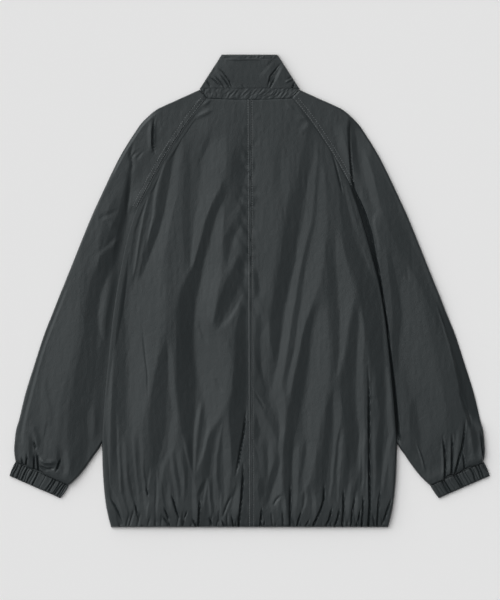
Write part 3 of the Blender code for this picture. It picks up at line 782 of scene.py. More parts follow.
THREAD_DEEP = (0.10, 0.11, 0.113)
THREAD_PALE = (0.19, 0.205, 0.21)
STITCH_PITCH = 4.2 * MM
STITCH_LENGTH = 2.6 * MM
THREAD_HALF = 0.52 * MM
thread = thread_finish("topstitch_thread")
back_folds = fold_map(BACK_FLANKS)
even_drops = np.arange(0.0, EVEN_ROWS_END, EVEN_ROW_STEP)
hem_drops = np.linspace(EVEN_ROWS_END, BODY_LENGTH, HEM_GRID_ROWS)
centre_rows = []
for side_name, side in SIDES.items():
    drop = np.concatenate((even_drops, hem_drops))[:, None]
    share = np.linspace(0.0, 1.0, BACK_COLUMNS)[None, :]
    half = body_half(drop)
    if side == RIGHT:
        half = half - route_place(EDGE_DRAWN_IN, drop, 0)
    centre = centre_line(drop)
    x = centre + (side * half - centre) * share
    across = np.abs(x - centre)
    to_side = half - np.abs(x)
    to_hem = BODY_LENGTH - drop
    sewn = sewn_share(side, drop)
    spread = (1.0 - sewn * (1.0 - ease(to_side / RAGLAN_FLAT))) * ease(drop / NECK_FLAT)
    spread = spread * ease((to_hem + 2 * MM) / HEM_FLAT)
    upper = UPPER_SHARE[side]
    spread = spread * (upper + (1.0 - upper) * ease((drop - UPPER_FOLDS_END) / UPPER_FOLDS_FADE))
    wander_x = x + wave_height(FOLD_WANDER, x, drop) + wave_height(FOLD_TREMOR, x, drop)
    wander_drop = drop + wave_height(DROP_WANDER, x, drop) * ease(drop / (40 * MM))
    rise = map_height(back_folds, wander_x, wander_drop) * spread
    rise += press_grooves(x, drop, BACK_GROOVES + small_gathers(side, SMALL_GATHERS, GATHER_SEED[side]))
    rise += PANEL_CROWN * np.sin(math.pi * share) * ease(drop / (60 * MM))
    rise += ridge_height(HEM_PUFF, drop - HEM_PUFF_DROP)
    rise += wave_height(BACK_STREAKS, x, drop) + wave_height(BACK_DIMPLES, x, drop)
    puckered = LEAST_PUCKER + (1.0 - LEAST_PUCKER) * fade_in_out(drop, *PUCKERED_DROPS)
    reach = PUCKER_REACH + wave_height(REACH_WAVES, 0.0, drop)
    pucker = wave_height(SEAM_PUCKER[side], across, drop + PUCKER_SLANT[side] * across)
    rise += puckered * pucker * bell(across - PUCKER_CENTRE, reach)
    if side == LEFT:
        crumple = wave_height(SEAM_CRUMPLE, across, drop + CRUMPLE_SLANT * across)
        rise += puckered * crumple * bell(across - CRUMPLE_CENTRE, CRUMPLE_REACH)
    rise += ridge_height(FELL_RIDGE, across, FLAT_TOP) - ridge_height(CENTRE_ROW_DENT, across - FELL_HALF)
    rise -= ridge_height(NECK_SEAM_DENT, drop)
    if side == RIGHT:
        rise -= sewn * ridge_height(RIGHT_SEAM_DENT, to_side)
    crowned_edge = OVER_SLEEVE_EDGE[side] + EDGE_CROWN
    lowest = LOW_LIMIT + (crowned_edge - LOW_LIMIT) * ease((26 * MM - to_side) / (18 * MM))
    top = np.maximum(SEAM_TOP + rise, lowest)
    covers = 1.0 - ease((drop - SLEEVE_LEAVES + 10 * MM) / (30 * MM))
    edge = FREE_EDGE + (OVER_SLEEVE_EDGE[side] - FREE_EDGE) * covers
    rolled = edge + (top - edge) * round_off(to_side, SIDE_ROLL)
    top = sewn * top + (1.0 - sewn) * rolled
    z = FREE_EDGE + (top - FREE_EDGE) * round_off(to_hem + 0.6 * MM, HEM_ROLL)
    y = NECK_Y - drop - neck_dip(x, NECK_SAG) * (1.0 - ease(drop / (80 * MM)))
    piece = lay_half(f"back_{side_name}", side, x, y, z, shell_finish, True)
    row_x = centre + side * FELL_HALF
    row_z = np.array([np.interp(FELL_HALF, across[row], z[row]) for row in range(len(z))])
    centre_rows.append(np.stack((row_x[:, 0], y[:, 0], row_z + 0.7 * THREAD_HALF), axis=1))
sew("centre_topstitch", centre_rows, thread)

# Sleeves
# Raglan sleeves of the same nylon, each an upper and an under half. Two rows of topstitching hold the
# raglan seam's allowance, the overarm seam runs just inside the outer edge, and the wrist end blouses
# over the elastic cuff. Below the armpit the sleeve lies partly under the body.
SLEEVE_TUCK = {LEFT: 9 * MM, RIGHT: 13 * MM}
TUCKED_FROM = {LEFT: 198 * MM, RIGHT: 148 * MM}
SLEEVE_UNDER_BODY = {LEFT: 6.9 * MM, RIGHT: 6.5 * MM}
CUFF_JOIN_TOP = 6.4 * MM
SLEEVE_ROLL = {LEFT: 2.4 * MM, RIGHT: 4 * MM}
RAGLAN_ROWS = (2.0 * MM, 8.0 * MM)
SLEEVE_SECTIONS = SIDE_SECTIONS + (
    Section(618, 269, 574, 403),
    Section(646, 289, 604, 406),
    Section(661, 303, 618, 405),
    Section(668, 311, 628, 403.4),
)
LEAVING_ROW = len(SIDE_SECTIONS) - 1
# The right shoulder folds over the sleeve along this line, given as places across and drops.
SHOULDER_FOLD = ((172, 30), (171, 55), (173, 85), (175, 112), (178, 144), (184, 172), (192, 196),
                 (199, 218))
SHOULDER_STEP = 3.4 * MM
SLEEVE_FLANKS = (
    # Left sleeve
    Flank(-0.34, ((-162.5, 30, 2), (-165, 60, 3.6), (-166, 80, 3.6), (-161, 100, 2.4))),
    Flank(0.16, ((-171, 34, 2), (-174, 66, 4), (-171, 95, 2.5))),
    Flank(-0.16, ((-203, 106, 3), (-209, 150, 6), (-214, 190, 10), (-226, 232, 15), (-240, 272, 16),
                  (-255, 303, 14), (-269, 335, 11), (-274, 375, 11), (-274, 410, 13), (-278, 450, 18),
                  (-286, 500, 20), (-294, 550, 20), (-295, 600, 18), (-297, 650, 12))),
    Flank(-0.26, ((-206, 136, 3), (-208, 160, 7), (-210, 190, 9), (-218, 230, 9), (-226, 262, 9),
                  (-231, 300, 6))),
    Flank(-0.22, ((-226, 164, 6), (-230, 188, 12), (-236, 215, 17), (-242, 245, 16), (-249, 285, 12),
                  (-255, 312, 8))),
    Flank(0.36, ((-222, 236, 4), (-242, 257, 6), (-266, 272, 4))),
    Flank(0.34, ((-252, 206, 3), (-235, 222, 4))),
    Flank(0.22, ((-232, 296, 5), (-247, 335, 9), (-254, 375, 7), (-252, 405, 5), (-246, 430, 2))),
    Flank(0.07, ((-292, 200, 8), (-300, 260, 12), (-308, 320, 18), (-313, 380, 22), (-323, 430, 24),
                 (-336, 480, 22), (-345, 530, 20), (-346, 590, 14), (-346, 625, 10))),
    Flank(0.12, ((-274, 525, 4), (-273, 558, 8), (-274, 592, 4))),
    Flank(-0.16, ((-350, 474, 2), (-348, 505, 2.5), (-342, 540, 2), (-341, 584, 1.4))),
    Flank(-0.18, ((-347, 540, 1.2), (-352.6, 571, 1.5), (-357, 592, 1.5), (-357, 618, 1.2))),
    Flank(-0.36, ((-379, 576, 2.4), (-377.5, 604, 3.6), (-376, 632, 3.2))),
    Flank(0.26, ((-378, 575, 1.4), (-371, 590, 2.5), (-366, 605, 1.4))),
    Flank(-0.28, ((-373, 560, 2), (-367, 580, 4), (-363.5, 589, 5), (-366, 606, 2))),
    Flank(-0.32, ((-328, 602, 2), (-329.5, 619, 3), (-328, 636, 3))),
    Flank(0.28, ((-322, 600, 2.5), (-316.6, 619, 4.5), (-314.5, 633, 5), (-319, 656, 5))),
    Flank(0.14, ((-396, 590, 4), (-394, 615, 6), (-391, 632, 5))),
    # Right sleeve
    Flank(0.16, ((150, 46, 7), (158, 85, 8), (164, 115, 6), (171, 142, 3))),
    Flank(-0.22, ((176, 40, 2), (179, 70, 4.5), (182, 112, 6), (188, 146, 4))),
    Flank(0.15, ((194, 80, 3), (204, 135, 8), (214, 172, 8), (222, 198, 4))),
    Flank(-0.18, ((197, 150, 4), (205, 176, 8), (212, 196, 8), (210, 210, 3))),
    Flank(0.26, ((222, 190, 1.6), (214, 212, 2.4), (217, 234, 2.4), (224, 268, 1.6))),
    Flank(-0.13, ((205, 80, 5), (220, 125, 10), (238, 180, 15), (258, 235, 16), (279, 280, 13),
                  (299, 320, 10),
                  (312, 350, 8), (323, 382, 6), (332, 412, 4))),
    Flank(-0.20, ((237, 258, 3), (244, 300, 6), (251, 345, 8), (254, 380, 8), (252, 430, 6),
                  (253, 484, 4))),
    Flank(0.09, ((268, 290, 12), (281, 360, 20), (288, 420, 26), (300, 480, 30), (312, 540, 28),
                 (318, 594, 18))),
    Flank(-0.16, ((281, 510, 4), (284, 550, 8), (286, 590, 10), (283, 624, 6))),
    Flank(-0.30, ((349, 436, 2), (361, 480, 4), (370, 520, 5), (377, 550, 4), (383, 568, 5),
                  (388, 590, 6),
                  (392, 618, 4))),
    Flank(0.20, ((331, 580, 1), (331.5, 620, 1.7), (332, 645, 2.2), (329, 664, 3))),
    Flank(0.18, ((343, 576, 2), (343.5, 620, 3.2), (342, 656, 3))),
    Flank(-0.15, ((340, 580, 1.4), (340.5, 604, 1.6), (341, 632, 1.4))),
    Flank(0.18, ((358, 566, 3), (356, 600, 3.2), (353, 640, 2.4))),
    Flank(0.17, ((376, 564, 2.5), (379, 600, 4), (383, 630, 6))),
    Flank(0.16, ((393, 592, 2), (395, 612, 3), (396, 630, 3))),
)
SLEEVE_GROOVES = (
    # Left sleeve
    Groove(((-163, 30), (-166, 62), (-166, 82), (-161, 101)), 2.0, 4.0),
    Groove(((-207, 86), (-203, 104), (-201, 130)), 2.0, 1.6),
    Groove(((-203, 112), (-207, 160), (-213, 212)), 3.0, 1.5),
    Groove(((-186, 92), (-197, 96), (-205, 104)), 2.0, 0.9),
    Groove(((-200, 75), (-207, 106)), 2.4, 0.8),
    Groove(((-182, 92), (-196, 106)), 2.4, 0.8),
    Groove(((-224, 195), (-262, 209)), 3.4, 0.8),
    Groove(((-372, 590), (-367, 606)), 1.4, 3.0),
    Groove(((-371, 604), (-365, 616), (-363.5, 634), (-362, 662)), 1.5, 4.4),
    Groove(((-370, 610), (-370.5, 632), (-371, 656)), 1.6, 4.4),
    Groove(((-324, 620), (-328, 631), (-333, 645)), 1.6, 4.4),
    Groove(((-382, 610), (-384, 630), (-386, 652)), 1.4, 3.4),
    Groove(((-392, 616), (-391, 630), (-391, 648)), 1.3, 2.6),
    Groove(((-365, 619), (-352, 628), (-332, 629)), 3.4, -2.6),
    Groove(((-364, 632), (-350, 639), (-334, 638)), 2.4, 2.6),
    # Right sleeve
    Groove(SHOULDER_FOLD, 1.9, 5.6),
    Groove(((332, 576), (336, 607), (337.4, 627), (336.6, 652), (336.5, 678)), 1.7, 5.2),
    Groove(((349, 572), (349.6, 604), (349, 627), (348, 650), (347, 676)), 1.7, 5.2),
    Groove(((373, 546), (369, 587), (365.4, 607), (360, 624.5), (355, 645), (350, 668)), 1.7, 5.2),
    Groove(((367, 606), (370, 636), (372, 662)), 1.4, 4.0),
    Groove(((398, 570), (401, 597), (403, 622), (404, 646)), 1.5, 4.2),
    Groove(((359, 494), (371, 533), (378, 549), (384, 572)), 2.2, 1.7),
    Groove(((287, 594), (295.7, 619), (302, 645)), 1.3, -1.4),
    Groove(((318, 345), (335, 395), (345, 430), (352, 455), (358, 482)), 1.6, -0.9),
    Groove(((270, 286), (273, 318)), 3.0, 0.4),
)
# The overarm seam's places across and down. The cloth steps down over it, towards the outer edge.
OVERARM_SEAMS = {
    LEFT: ((-306, 305), (-318, 338), (-337, 386), (-350, 420), (-360, 450), (-368, 480), (-376, 512),
           (-385, 546), (-391, 578)),
    RIGHT: ((318, 342), (335, 395), (345, 430), (352, 455), (358, 480), (367, 515), (377, 550)),
}
OVERARM_STEP = {LEFT: 1.7 * MM, RIGHT: 1.3 * MM}
OVERARM_FALL = 0.24
# How wide the dark crevice beside the body's right edge stands open at a drop.
CREVICE_ROUTE = ((2, 145), (5, 161), (8, 180), (10, 200), (10.5, 233), (7, 270), (5, 306), (3.4, 342),
                 (3.2, 400), (4, 452), (4.8, 610))
CREVICE_FLOOR = 1.6 * MM
CREVICE_WALL = 0.6 * MM
CREVICE_TURN = 0.82
RIM_LEAN = 0.42
RIM_WIDTH = 6 * MM
# Where the right shoulder's fold and the left shoulder's rim show: first drop, fade, last drop, fade.
FOLDED_DROPS = (30 * MM, 30 * MM, 225 * MM, 60 * MM)
RIM_DROPS = (18 * MM, 20 * MM, 150 * MM, 40 * MM)
SLEEVE_SEAM_FLAT = 26 * MM
SLEEVE_CROWN = 1.0 * MM
WRIST_PUFF = Ridge(0.9 * MM, 10 * MM)
DRAWN_UP = 3.4 * MM
SLEEVE_WANDER = Waves(1.4 * MM, 40 * MM, 34 * MM, 25)
SLEEVE_STREAKS = Waves(0.08 * MM, 4.5 * MM, 28 * MM, 26)
SLEEVE_DIMPLES = Waves(0.12 * MM, 5 * MM, 9 * MM, 27)
FELLED_CENTRE = 5.0 * MM
FELLED_HALF = 3.8 * MM
FELLED_RISE = 0.06 * MM
RAGLAN_PUCKER = {LEFT: Waves(0.5 * MM, 4.4 * MM, 9 * MM, 29), RIGHT: Waves(0.22 * MM, 4.4 * MM, 9 * MM, 29)}
RAGLAN_ROW_DENT = {LEFT: Ridge(0.08 * MM, 0.8 * MM), RIGHT: Ridge(0.22 * MM, 0.8 * MM)}
RAGLAN_SEAM_DENT = Ridge(0.5 * MM, 1.0 * MM)
UNDER_SLEEVE_SEED = {LEFT: 33, RIGHT: 37}


def section_rows(sections, rows):
    """Even rows through a table of sections: their numbers, and each column of the table at them."""
    table = np.array(sections, float) * MM
    knots = np.arange(len(table))
    row = np.linspace(0.0, knots[-1], rows)[:, None]
    return row, [smooth_through(knots, table[:, column], row) for column in range(table.shape[1])]


def across_sections(side, share, inner_drop, inner_half, outer_drop, outer_half):
    """Places across and drops at shares of the way along each section, and the sections' lengths."""
    x = side * (inner_half + (outer_half - inner_half) * share)
    drop = inner_drop + (outer_drop - inner_drop) * share
    return x, drop, np.hypot(outer_half - inner_half, outer_drop - inner_drop)


def sleeve_spot(side, rows, columns, tuck):
    """The sleeve's grid: place across, drop, the drop of each row's inner end, and distances to its
    body side, outer edge and cuff. Below the armpit its inner side is tucked under the body.
    """
    row, (inner_drop, inner_half, outer_drop, outer_half) = section_rows(SLEEVE_SECTIONS, rows)
    share = np.linspace(0.0, 1.0, columns)[None, :] ** 1.15
    inner_half = np.where(row <= LEAVING_ROW, body_half(inner_drop), inner_half)
    hidden = fade_in_out(inner_drop, TUCKED_FROM[side], 40 * MM, SLEEVE_LEAVES, 25 * MM)
    inner_half = inner_half - tuck * hidden
    x, drop, width = across_sections(side, share, inner_drop, inner_half, outer_drop, outer_half)
    steps = np.hypot(np.diff(x, axis=0), np.diff(drop, axis=0))
    run = np.concatenate((np.zeros_like(x[:1]), np.cumsum(steps, axis=0)))
    return x, drop, inner_drop, share * width, (1.0 - share) * width, run[-1:] - run


sleeve_folds = fold_map(SLEEVE_FLANKS)
for side_name, side in SIDES.items():
    x, drop, inner_drop, to_body, to_outer, to_cuff = sleeve_spot(side, 250, 136, SLEEVE_TUCK[side])
    sewn = sewn_share(side, inner_drop)
    free = ease((inner_drop - SLEEVE_LEAVES + 20 * MM) / (20 * MM))
    spread = ease((to_outer + 3 * MM) / (7 * MM)) * ease((to_cuff + 2 * MM) / (10 * MM))
    spread = spread * (1.0 - sewn * (1.0 - ease(to_body / SLEEVE_SEAM_FLAT)))
    rise = map_height(sleeve_folds, x + wave_height(SLEEVE_WANDER, x, drop), drop) * spread
    rise += press_grooves(x, drop, SLEEVE_GROOVES)
    if side == RIGHT:
        past = x - route_place(SHOULDER_FOLD, drop, 0)
        stepped = fade_in_out(drop, *FOLDED_DROPS)
        rise -= SHOULDER_STEP * stepped * ease(past / (1.5 * MM)) * (1.0 - ease(past / (75 * MM)))
    seam = OVERARM_SEAMS[side]
    past_seam = side * (x - route_place(seam, drop, 0))
    seam_shown = fade_in_out(drop, seam[0][1] * MM, 60 * MM, (seam[-1][1] + 24) * MM, 30 * MM)
    rise -= OVERARM_STEP[side] * seam_shown * np.clip((past_seam + 2 * MM) / (4 * MM), 0.0, 1.0)
    if side == RIGHT:
        rise -= OVERARM_FALL * seam_shown * np.clip(past_seam, 0.0, 20 * MM)
    rise += SLEEVE_CROWN * ease(to_body / (40 * MM)) * ease(to_outer / (60 * MM))
    rise += ridge_height(WRIST_PUFF, to_cuff - 10 * MM)
    rise += wave_height(SLEEVE_STREAKS, x, drop) + wave_height(SLEEVE_DIMPLES, x, drop)
    felled = bell(to_body - FELLED_CENTRE, FELLED_HALF, FLAT_TOP)
    rise += sewn * felled * (FELLED_RISE + wave_height(RAGLAN_PUCKER[side], drop + 0.6 * to_body, to_body))
    for stitched in RAGLAN_ROWS:
        rise -= sewn * ridge_height(RAGLAN_ROW_DENT[side], to_body - stitched)
    rise -= sewn * ridge_height(RAGLAN_SEAM_DENT, to_body)
    top = np.maximum(SEAM_TOP + rise, CREVICE_FLOOR)
    beside = np.abs(x) - body_half(drop)
    under = SLEEVE_UNDER_BODY[side]
    if side == LEFT:
        valley = under + (top - under) * ease((beside + 1 * MM) / (20 * MM))
    else:
        beside = beside + route_place(EDGE_DRAWN_IN, drop, 0)
        opened = route_place(CREVICE_ROUTE, drop, 0)
        turn = CREVICE_TURN * opened
        sunk = under + (CREVICE_FLOOR - under) * np.clip(beside / turn, 0.0, 1.0)
        valley = sunk + (top - sunk) * np.clip((beside - turn) / (opened - turn + CREVICE_WALL), 0.0, 1.0)
    rolled = FREE_EDGE + (top - FREE_EDGE) * round_off(to_body, SIDE_ROLL)
    top = sewn * top + (1.0 - sewn) * ((1.0 - free) * valley + free * rolled)
    if side == LEFT:
        rim = np.clip(RIM_WIDTH - to_outer, 0.0, None)
        top = top - RIM_LEAN * fade_in_out(drop, *RIM_DROPS) * rim
    top = FREE_EDGE + (top - FREE_EDGE) * round_off(to_outer, SLEEVE_ROLL[side])
    drawn_up = DRAWN_UP * np.clip(0.3 + mottle(x, 0.0, 9 * MM, 1.0, 57), 0.0, 1.0)
    z = CUFF_JOIN_TOP + (top - CUFF_JOIN_TOP) * round_off(to_cuff + 0.4 * MM - drawn_up, 3 * MM)
    z = np.minimum(z, np.maximum(top, FREE_EDGE))
    y = NECK_Y - drop
    piece = lay_half(f"sleeve_back_{side_name}", side, x, y, z, shell_finish, True)
    last = int(np.searchsorted(inner_drop[:, 0], ARMPIT_DROP[side] - 6 * MM))
    stitched_rows = []
    for stitched in RAGLAN_ROWS:
        spots = []
        for row in range(2, last):
            spots.append([np.interp(stitched, to_body[row], array[row]) for array in (x, y, z)])
        stitched_rows.append(np.array(spots) + (0.0, 0.0, 0.6 * THREAD_HALF))
    sew(f"raglan_topstitch_{side_name}", stitched_rows, thread)

    x, drop, _, to_body, to_outer, to_cuff = sleeve_spot(side, 130, 40, 0.0)
    to_edge = np.minimum(np.minimum(to_body, to_outer), to_cuff)
    z = under_creases(x, drop, to_edge, UNDER_SLEEVE_SEED[side])
    piece = lay_half(f"sleeve_front_{side_name}", side, x, NECK_Y - drop, z, shell_finish, False)

# Cuffs
# Short nylon cuffs with an elastic inside that draws the cloth into ribs along the arm.
# Each has an upper and an under half, and is sewn to the sleeve end.
CUFF_TOP = 6.6 * MM
CUFF_RIBS = 15
CUFF_LENGTH = 24 * MM
CUFF_CREASE_HALF = 1.2 * MM
CUFF_CREASE_GAIN = 0.75
CUFF_CREASE_TILT = 0.012
CUFF_TILT_TURN = 37.0
CUFF_BEND = Waves(0.010, 0.4, 0.06, 51)
CUFF_SWELL = {LEFT: Waves(0.5 * MM, 0.07, 2.0, 53), RIGHT: Waves(0.5 * MM, 0.07, 2.0, 54)}
UNDER_RIB = 0.9 * MM
# Where the ribs' creases lie across the cuff, as a share from its body side, and their depths.
CUFF_CREASES = {
    LEFT: ((0.03, 2.0), (0.064, 2.6), (0.119, 2.8), (0.158, 2.6), (0.237, 2.8), (0.293, 3.0), (0.42, 0.7),
           (0.56, 3.2), (0.61, 1.0), (0.664, 2.6), (0.715, 1.2), (0.767, 3.0), (0.81, 1.0), (0.86, 3.0),
           (0.93, 2.4), (0.97, 2.4)),
    RIGHT: ((0.07, 1.0), (0.13, 0.8), (0.21, 3.0), (0.25, 2.8), (0.34, 0.8), (0.44, 2.6), (0.483, 3.0),
            (0.54, 0.8), (0.60, 1.4), (0.65, 1.2), (0.74, 3.0), (0.79, 1.0), (0.84, 2.8), (0.89, 2.8),
            (0.977, 2.6)),
}
CUFF_SECTIONS = (
    Section(667.0, 310.5, 627.2, 403.5),
    Section(674.0, 314.5, 633.5, 407.0),
    Section(683.0, 320.5, 642.5, 411.0),
    Section(690.0, 326.0, 651.5, 414.0),
)
casing_finish = satin_nylon("casing_satin", SHELL_DEEP, SHELL_PALE, 0.40)


def cuff_spot(side, rows, columns):
    """The cuff's grid: place across, drop, share of the way across and along, and its width at each row."""
    row, ends = section_rows(CUFF_SECTIONS, rows)
    share = np.linspace(0.0, 1.0, columns)[None, :]
    x, drop, width = across_sections(side, share, *ends)
    return x, drop, share, row / row[-1], width


for side_name, side in SIDES.items():
    x, drop, share, along, width = cuff_spot(side, 22, 181)
    bent = share + wave_height(CUFF_BEND, along, share)
    top = CUFF_TOP + wave_height(CUFF_SWELL[side], bent, along)
    for place, depth in CUFF_CREASES[side]:
        tilt = CUFF_CREASE_TILT * math.sin(CUFF_TILT_TURN * place) * (along - 0.5)
        crease = Ridge(CUFF_CREASE_GAIN * depth * MM, CUFF_CREASE_HALF)
        top = top - ridge_height(crease, (bent - place + tilt) * width)
    top = FREE_EDGE + (top - FREE_EDGE) * round_off(width * np.minimum(share, 1.0 - share), 3 * MM)
    sleeve_end = round_off(along * CUFF_LENGTH + 1.6 * MM, 6 * MM)
    hand_end = round_off((1.0 - along) * CUFF_LENGTH + 0.4 * MM, 3 * MM)
    z = FREE_EDGE + (top - FREE_EDGE) * np.minimum(sleeve_end, hand_end)
    node = f"cuff_back_{side_name}"
    piece = lay_half(node, side, x, NECK_Y - drop, z, casing_finish, True)

    x, drop, share, _, width = cuff_spot(side, 12, 121)
    ribbed = ease(width * np.minimum(share, 1.0 - share) / (8 * MM))
    z = UNDER_FACE + UNDER_RIB * np.sin(math.pi * CUFF_RIBS * share) ** 2 * ribbed
    node = f"cuff_front_{side_name}"
    piece = lay_half(node, side, x, NECK_Y - drop, z, casing_finish, False)

# Neck casing
# A narrow strip between body and collar with an elastic inside, drawn into short slanting gathers.
# It has one back length and two front lengths that end at the zip.
CASING_HEIGHT = 15.5 * MM
CASING_TOP_HALF = 86 * MM
CASING_GATHERS = Waves(0.6 * MM, 3.6 * MM, 7 * MM, 61)
CASING_CREASES = Waves(0.3 * MM, 2.2 * MM, 4 * MM, 62)
CASING_RIBS = 13
SEAM_GAP = 0.4 * MM
SEAM_LAP = 0.5 * MM

rise_share = np.linspace(1.0, 0.0, 20)[:, None]
share = np.linspace(0.0, 1.0, 301)[None, :]
half = NECK_HALF + (CASING_TOP_HALF - NECK_HALF) * rise_share
x = half * (2.0 * share - 1.0)
rise = CASING_HEIGHT * rise_share + SEAM_LAP * (2.0 * rise_share - 1.0)
rise = rise - neck_dip(x * NECK_HALF / half, NECK_SAG) * (1.0 - rise_share)
slanted = x - (0.2 + 0.6 * ease((x + 70 * MM) / (45 * MM))) * rise
gather = wave_height(CASING_GATHERS, slanted, rise) + wave_height(CASING_CREASES, slanted, rise)
drawn = np.sqrt(np.sin(math.pi * np.clip(0.08 + 0.84 * rise_share, 0.0, 1.0)))
z = SEAM_TOP - 0.2 * MM + gather * drawn
piece = lay_cloth("casing_back_cloth", x, NECK_Y + rise, z, casing_finish, True)
dress(piece, "casing_back")
for side_name, side in SIDES.items():
    rise_share = np.linspace(1.0, 0.0, 10)[:, None]
    share = np.linspace(0.0, 1.0, 121)[None, :]
    rise = SEAM_GAP + (CASING_HEIGHT - SEAM_GAP) * rise_share
    half = NECK_HALF + (CASING_TOP_HALF - NECK_HALF) * rise_share
    x = side * (ZIP_HALF + (half - ZIP_HALF) * share)
    y = NECK_Y + rise - neck_dip(x * NECK_HALF / half, FRONT_NECK_DROP)
    z = UNDER_FACE + UNDER_RIB * np.sin(math.pi * CASING_RIBS * share) ** 2 * np.sin(math.pi * rise_share)
    piece = lay_half(f"casing_front_{side_name}", side, x, y, z, casing_finish, False)

# Collar
# A stand collar of doubled nylon, narrower at the top, with a turned and stitched top edge.
# The back is one piece, and the two fronts end at the zip.
COLLAR_HEIGHT = 59 * MM
COLLAR_TOP_HALF = 48 * MM
COLLAR_ROLL = 2.4 * MM
COLLAR_FOLD_GAIN = 1.5
COLLAR_CROWN = 0.8 * MM
COLLAR_STRIP = 7.5 * MM
STRIP_SUNK = 0.25 * MM
STRIP_DENT = Ridge(0.35 * MM, 1.0 * MM)
STRIP_PUCKER = Waves(0.45 * MM, 3.2 * MM, 8 * MM, 71)
STRIP_WANDER = Waves(0.8 * MM, 11 * MM, 1.0, 72)
FOOT_DENT = Ridge(0.3 * MM, 1.4 * MM)
COLLAR_DIMPLES = Waves(0.10 * MM, 5 * MM, 9 * MM, 73)
COLLAR_FRONT_SEED = {LEFT: 81, RIGHT: 82}
COLLAR_FLANKS = (
    Flank(-0.26, ((55, -60, 1.5), (44, -46, 3), (36, -36, 3), (31, -15, 2))),
    Flank(0.20, ((57, -58, 2), (47, -36, 3), (35, -15, 2))),
    Flank(-0.20, ((44, -33, 1.2), (39, -24, 1.6), (34, -14, 1.3))),
    Flank(-0.16, ((46, -70, 2), (36, -63, 3), (29, -54, 2))),
    Flank(0.09, ((42, -62, 3), (30, -50, 4), (17, -36, 3))),
    Flank(-0.22, ((-57, -54, 1.2), (-45, -43, 1.6), (-37, -33, 1.7), (-28, -14, 1.4))),
    Flank(0.16, ((-59, -50, 1.3), (-48, -40, 1.8), (-39, -29, 1.7), (-32, -15, 1.3))),
    Flank(-0.24, ((-52, -43, 1.3), (-41, -28, 2), (-31, -14, 1.7))),
    Flank(0.15, ((-57, -40, 1.5), (-46, -27, 2), (-37, -15, 1.5))),
    Flank(-0.22, ((-61, -40, 1.3), (-49.5, -26, 1.8), (-40, -14, 1.5))),
    Flank(0.20, ((-67, -37, 1.5), (-56, -27, 2), (-47, -16, 1.5))),
    Flank(-0.24, ((-70, -37, 1.3), (-58, -28, 1.6), (-46, -18, 1.3))),
    Flank(-0.16, ((-53, -68, 1.3), (-42, -60, 2), (-32, -54, 1.6))),
    Flank(0.16, ((-54, -66, 1.3), (-40, -54.5, 2.2), (-27, -48, 1.6))),
    Flank(0.18, ((-64, -62, 2), (-59, -52, 3), (-55, -44, 2))),
)
COLLAR_GROOVES = (
    Groove(((78, -27), (75, -18), (72, -8)), 1.5, 3.0),
    Groove(((60, -25), (76, -34)), 1.5, -1.4),
    Groove(((64, -30), (78, -38)), 2.0, 1.2),
    Groove(((-14, -24), (-6, -12)), 1.4, 0.7),
    Groove(((-58, -55), (-45, -43), (-36, -31), (-28, -14)), 1.1, 1.8),
    Groove(((-53, -44), (-41, -28), (-31, -14)), 1.1, 1.8),
    Groove(((-62, -41), (-49, -26), (-40, -14)), 1.1, 1.8),
    Groove(((-71, -38), (-58, -28), (-46, -17)), 1.1, 1.8),
    Groove(((56, -61), (44, -46), (36, -36), (31, -15)), 1.3, 2.0),
    Groove(((46, -36), (39, -24), (34, -13)), 1.1, 1.8),
    Groove(((-74, -30), (-66, -18)), 1.6, 1.8),
    Groove(((-52, -66.5), (-20, -64.8), (0, -66), (28, -65.5)), 1.3, -0.7),
)


def collar_half(rise):
    """Half the collar's width at a height above its foot."""
    return CASING_TOP_HALF + (COLLAR_TOP_HALF - CASING_TOP_HALF) * rise / COLLAR_HEIGHT


collar_folds = fold_map(COLLAR_FLANKS)
rise = COLLAR_HEIGHT * np.linspace(1.0, 0.0, 66)[:, None]
share = np.linspace(0.0, 1.0, 161)[None, :]
half = collar_half(rise)
x = half * (2.0 * share - 1.0)
height = CASING_HEIGHT + rise
to_side, to_top = half - np.abs(x), COLLAR_HEIGHT - rise
top = SEAM_TOP + COLLAR_CROWN * ease(to_side / (30 * MM)) * ease(rise / (24 * MM))
folds = COLLAR_FOLD_GAIN * map_height(collar_folds, x, -height)
top += folds * ease(to_side / (6 * MM)) * ease(rise / (3 * MM))
top += press_grooves(x, -height, COLLAR_GROOVES)
strip_pucker = wave_height(STRIP_PUCKER, x + 0.5 * to_top, to_top)
top += (strip_pucker - STRIP_SUNK) * ease((COLLAR_STRIP - to_top) / (2 * MM))
top -= ridge_height(STRIP_DENT, to_top - COLLAR_STRIP - wave_height(STRIP_WANDER, x, 0.0))
top -= ridge_height(FOOT_DENT, rise)
top += wave_height(COLLAR_DIMPLES, x, height)
rounded = round_off(to_side + 0.2 * MM, COLLAR_ROLL) * round_off(to_top + 0.2 * MM, 3 * MM)
z = FREE_EDGE + (top - FREE_EDGE) * rounded
piece = lay_cloth("collar_back_cloth", x, NECK_Y + height, z, shell_finish, True)
dress(piece, "collar_back")
for side_name, side in SIDES.items():
    rise = COLLAR_HEIGHT * np.linspace(1.0, 0.0, 30)[:, None]
    share = np.linspace(0.0, 1.0, 40)[None, :]
    half = collar_half(rise)
    x = side * (ZIP_HALF + (half - ZIP_HALF) * share)
    y = NECK_Y + CASING_HEIGHT + SEAM_GAP + rise - neck_dip(x * NECK_HALF / half, FRONT_NECK_DROP)
    to_edge = np.minimum(half - np.abs(x), COLLAR_HEIGHT - rise)
    z = under_creases(x, rise, to_edge, COLLAR_FRONT_SEED[side])
    piece = lay_half(f"collar_front_{side_name}", side, x, y, z, shell_finish, False)

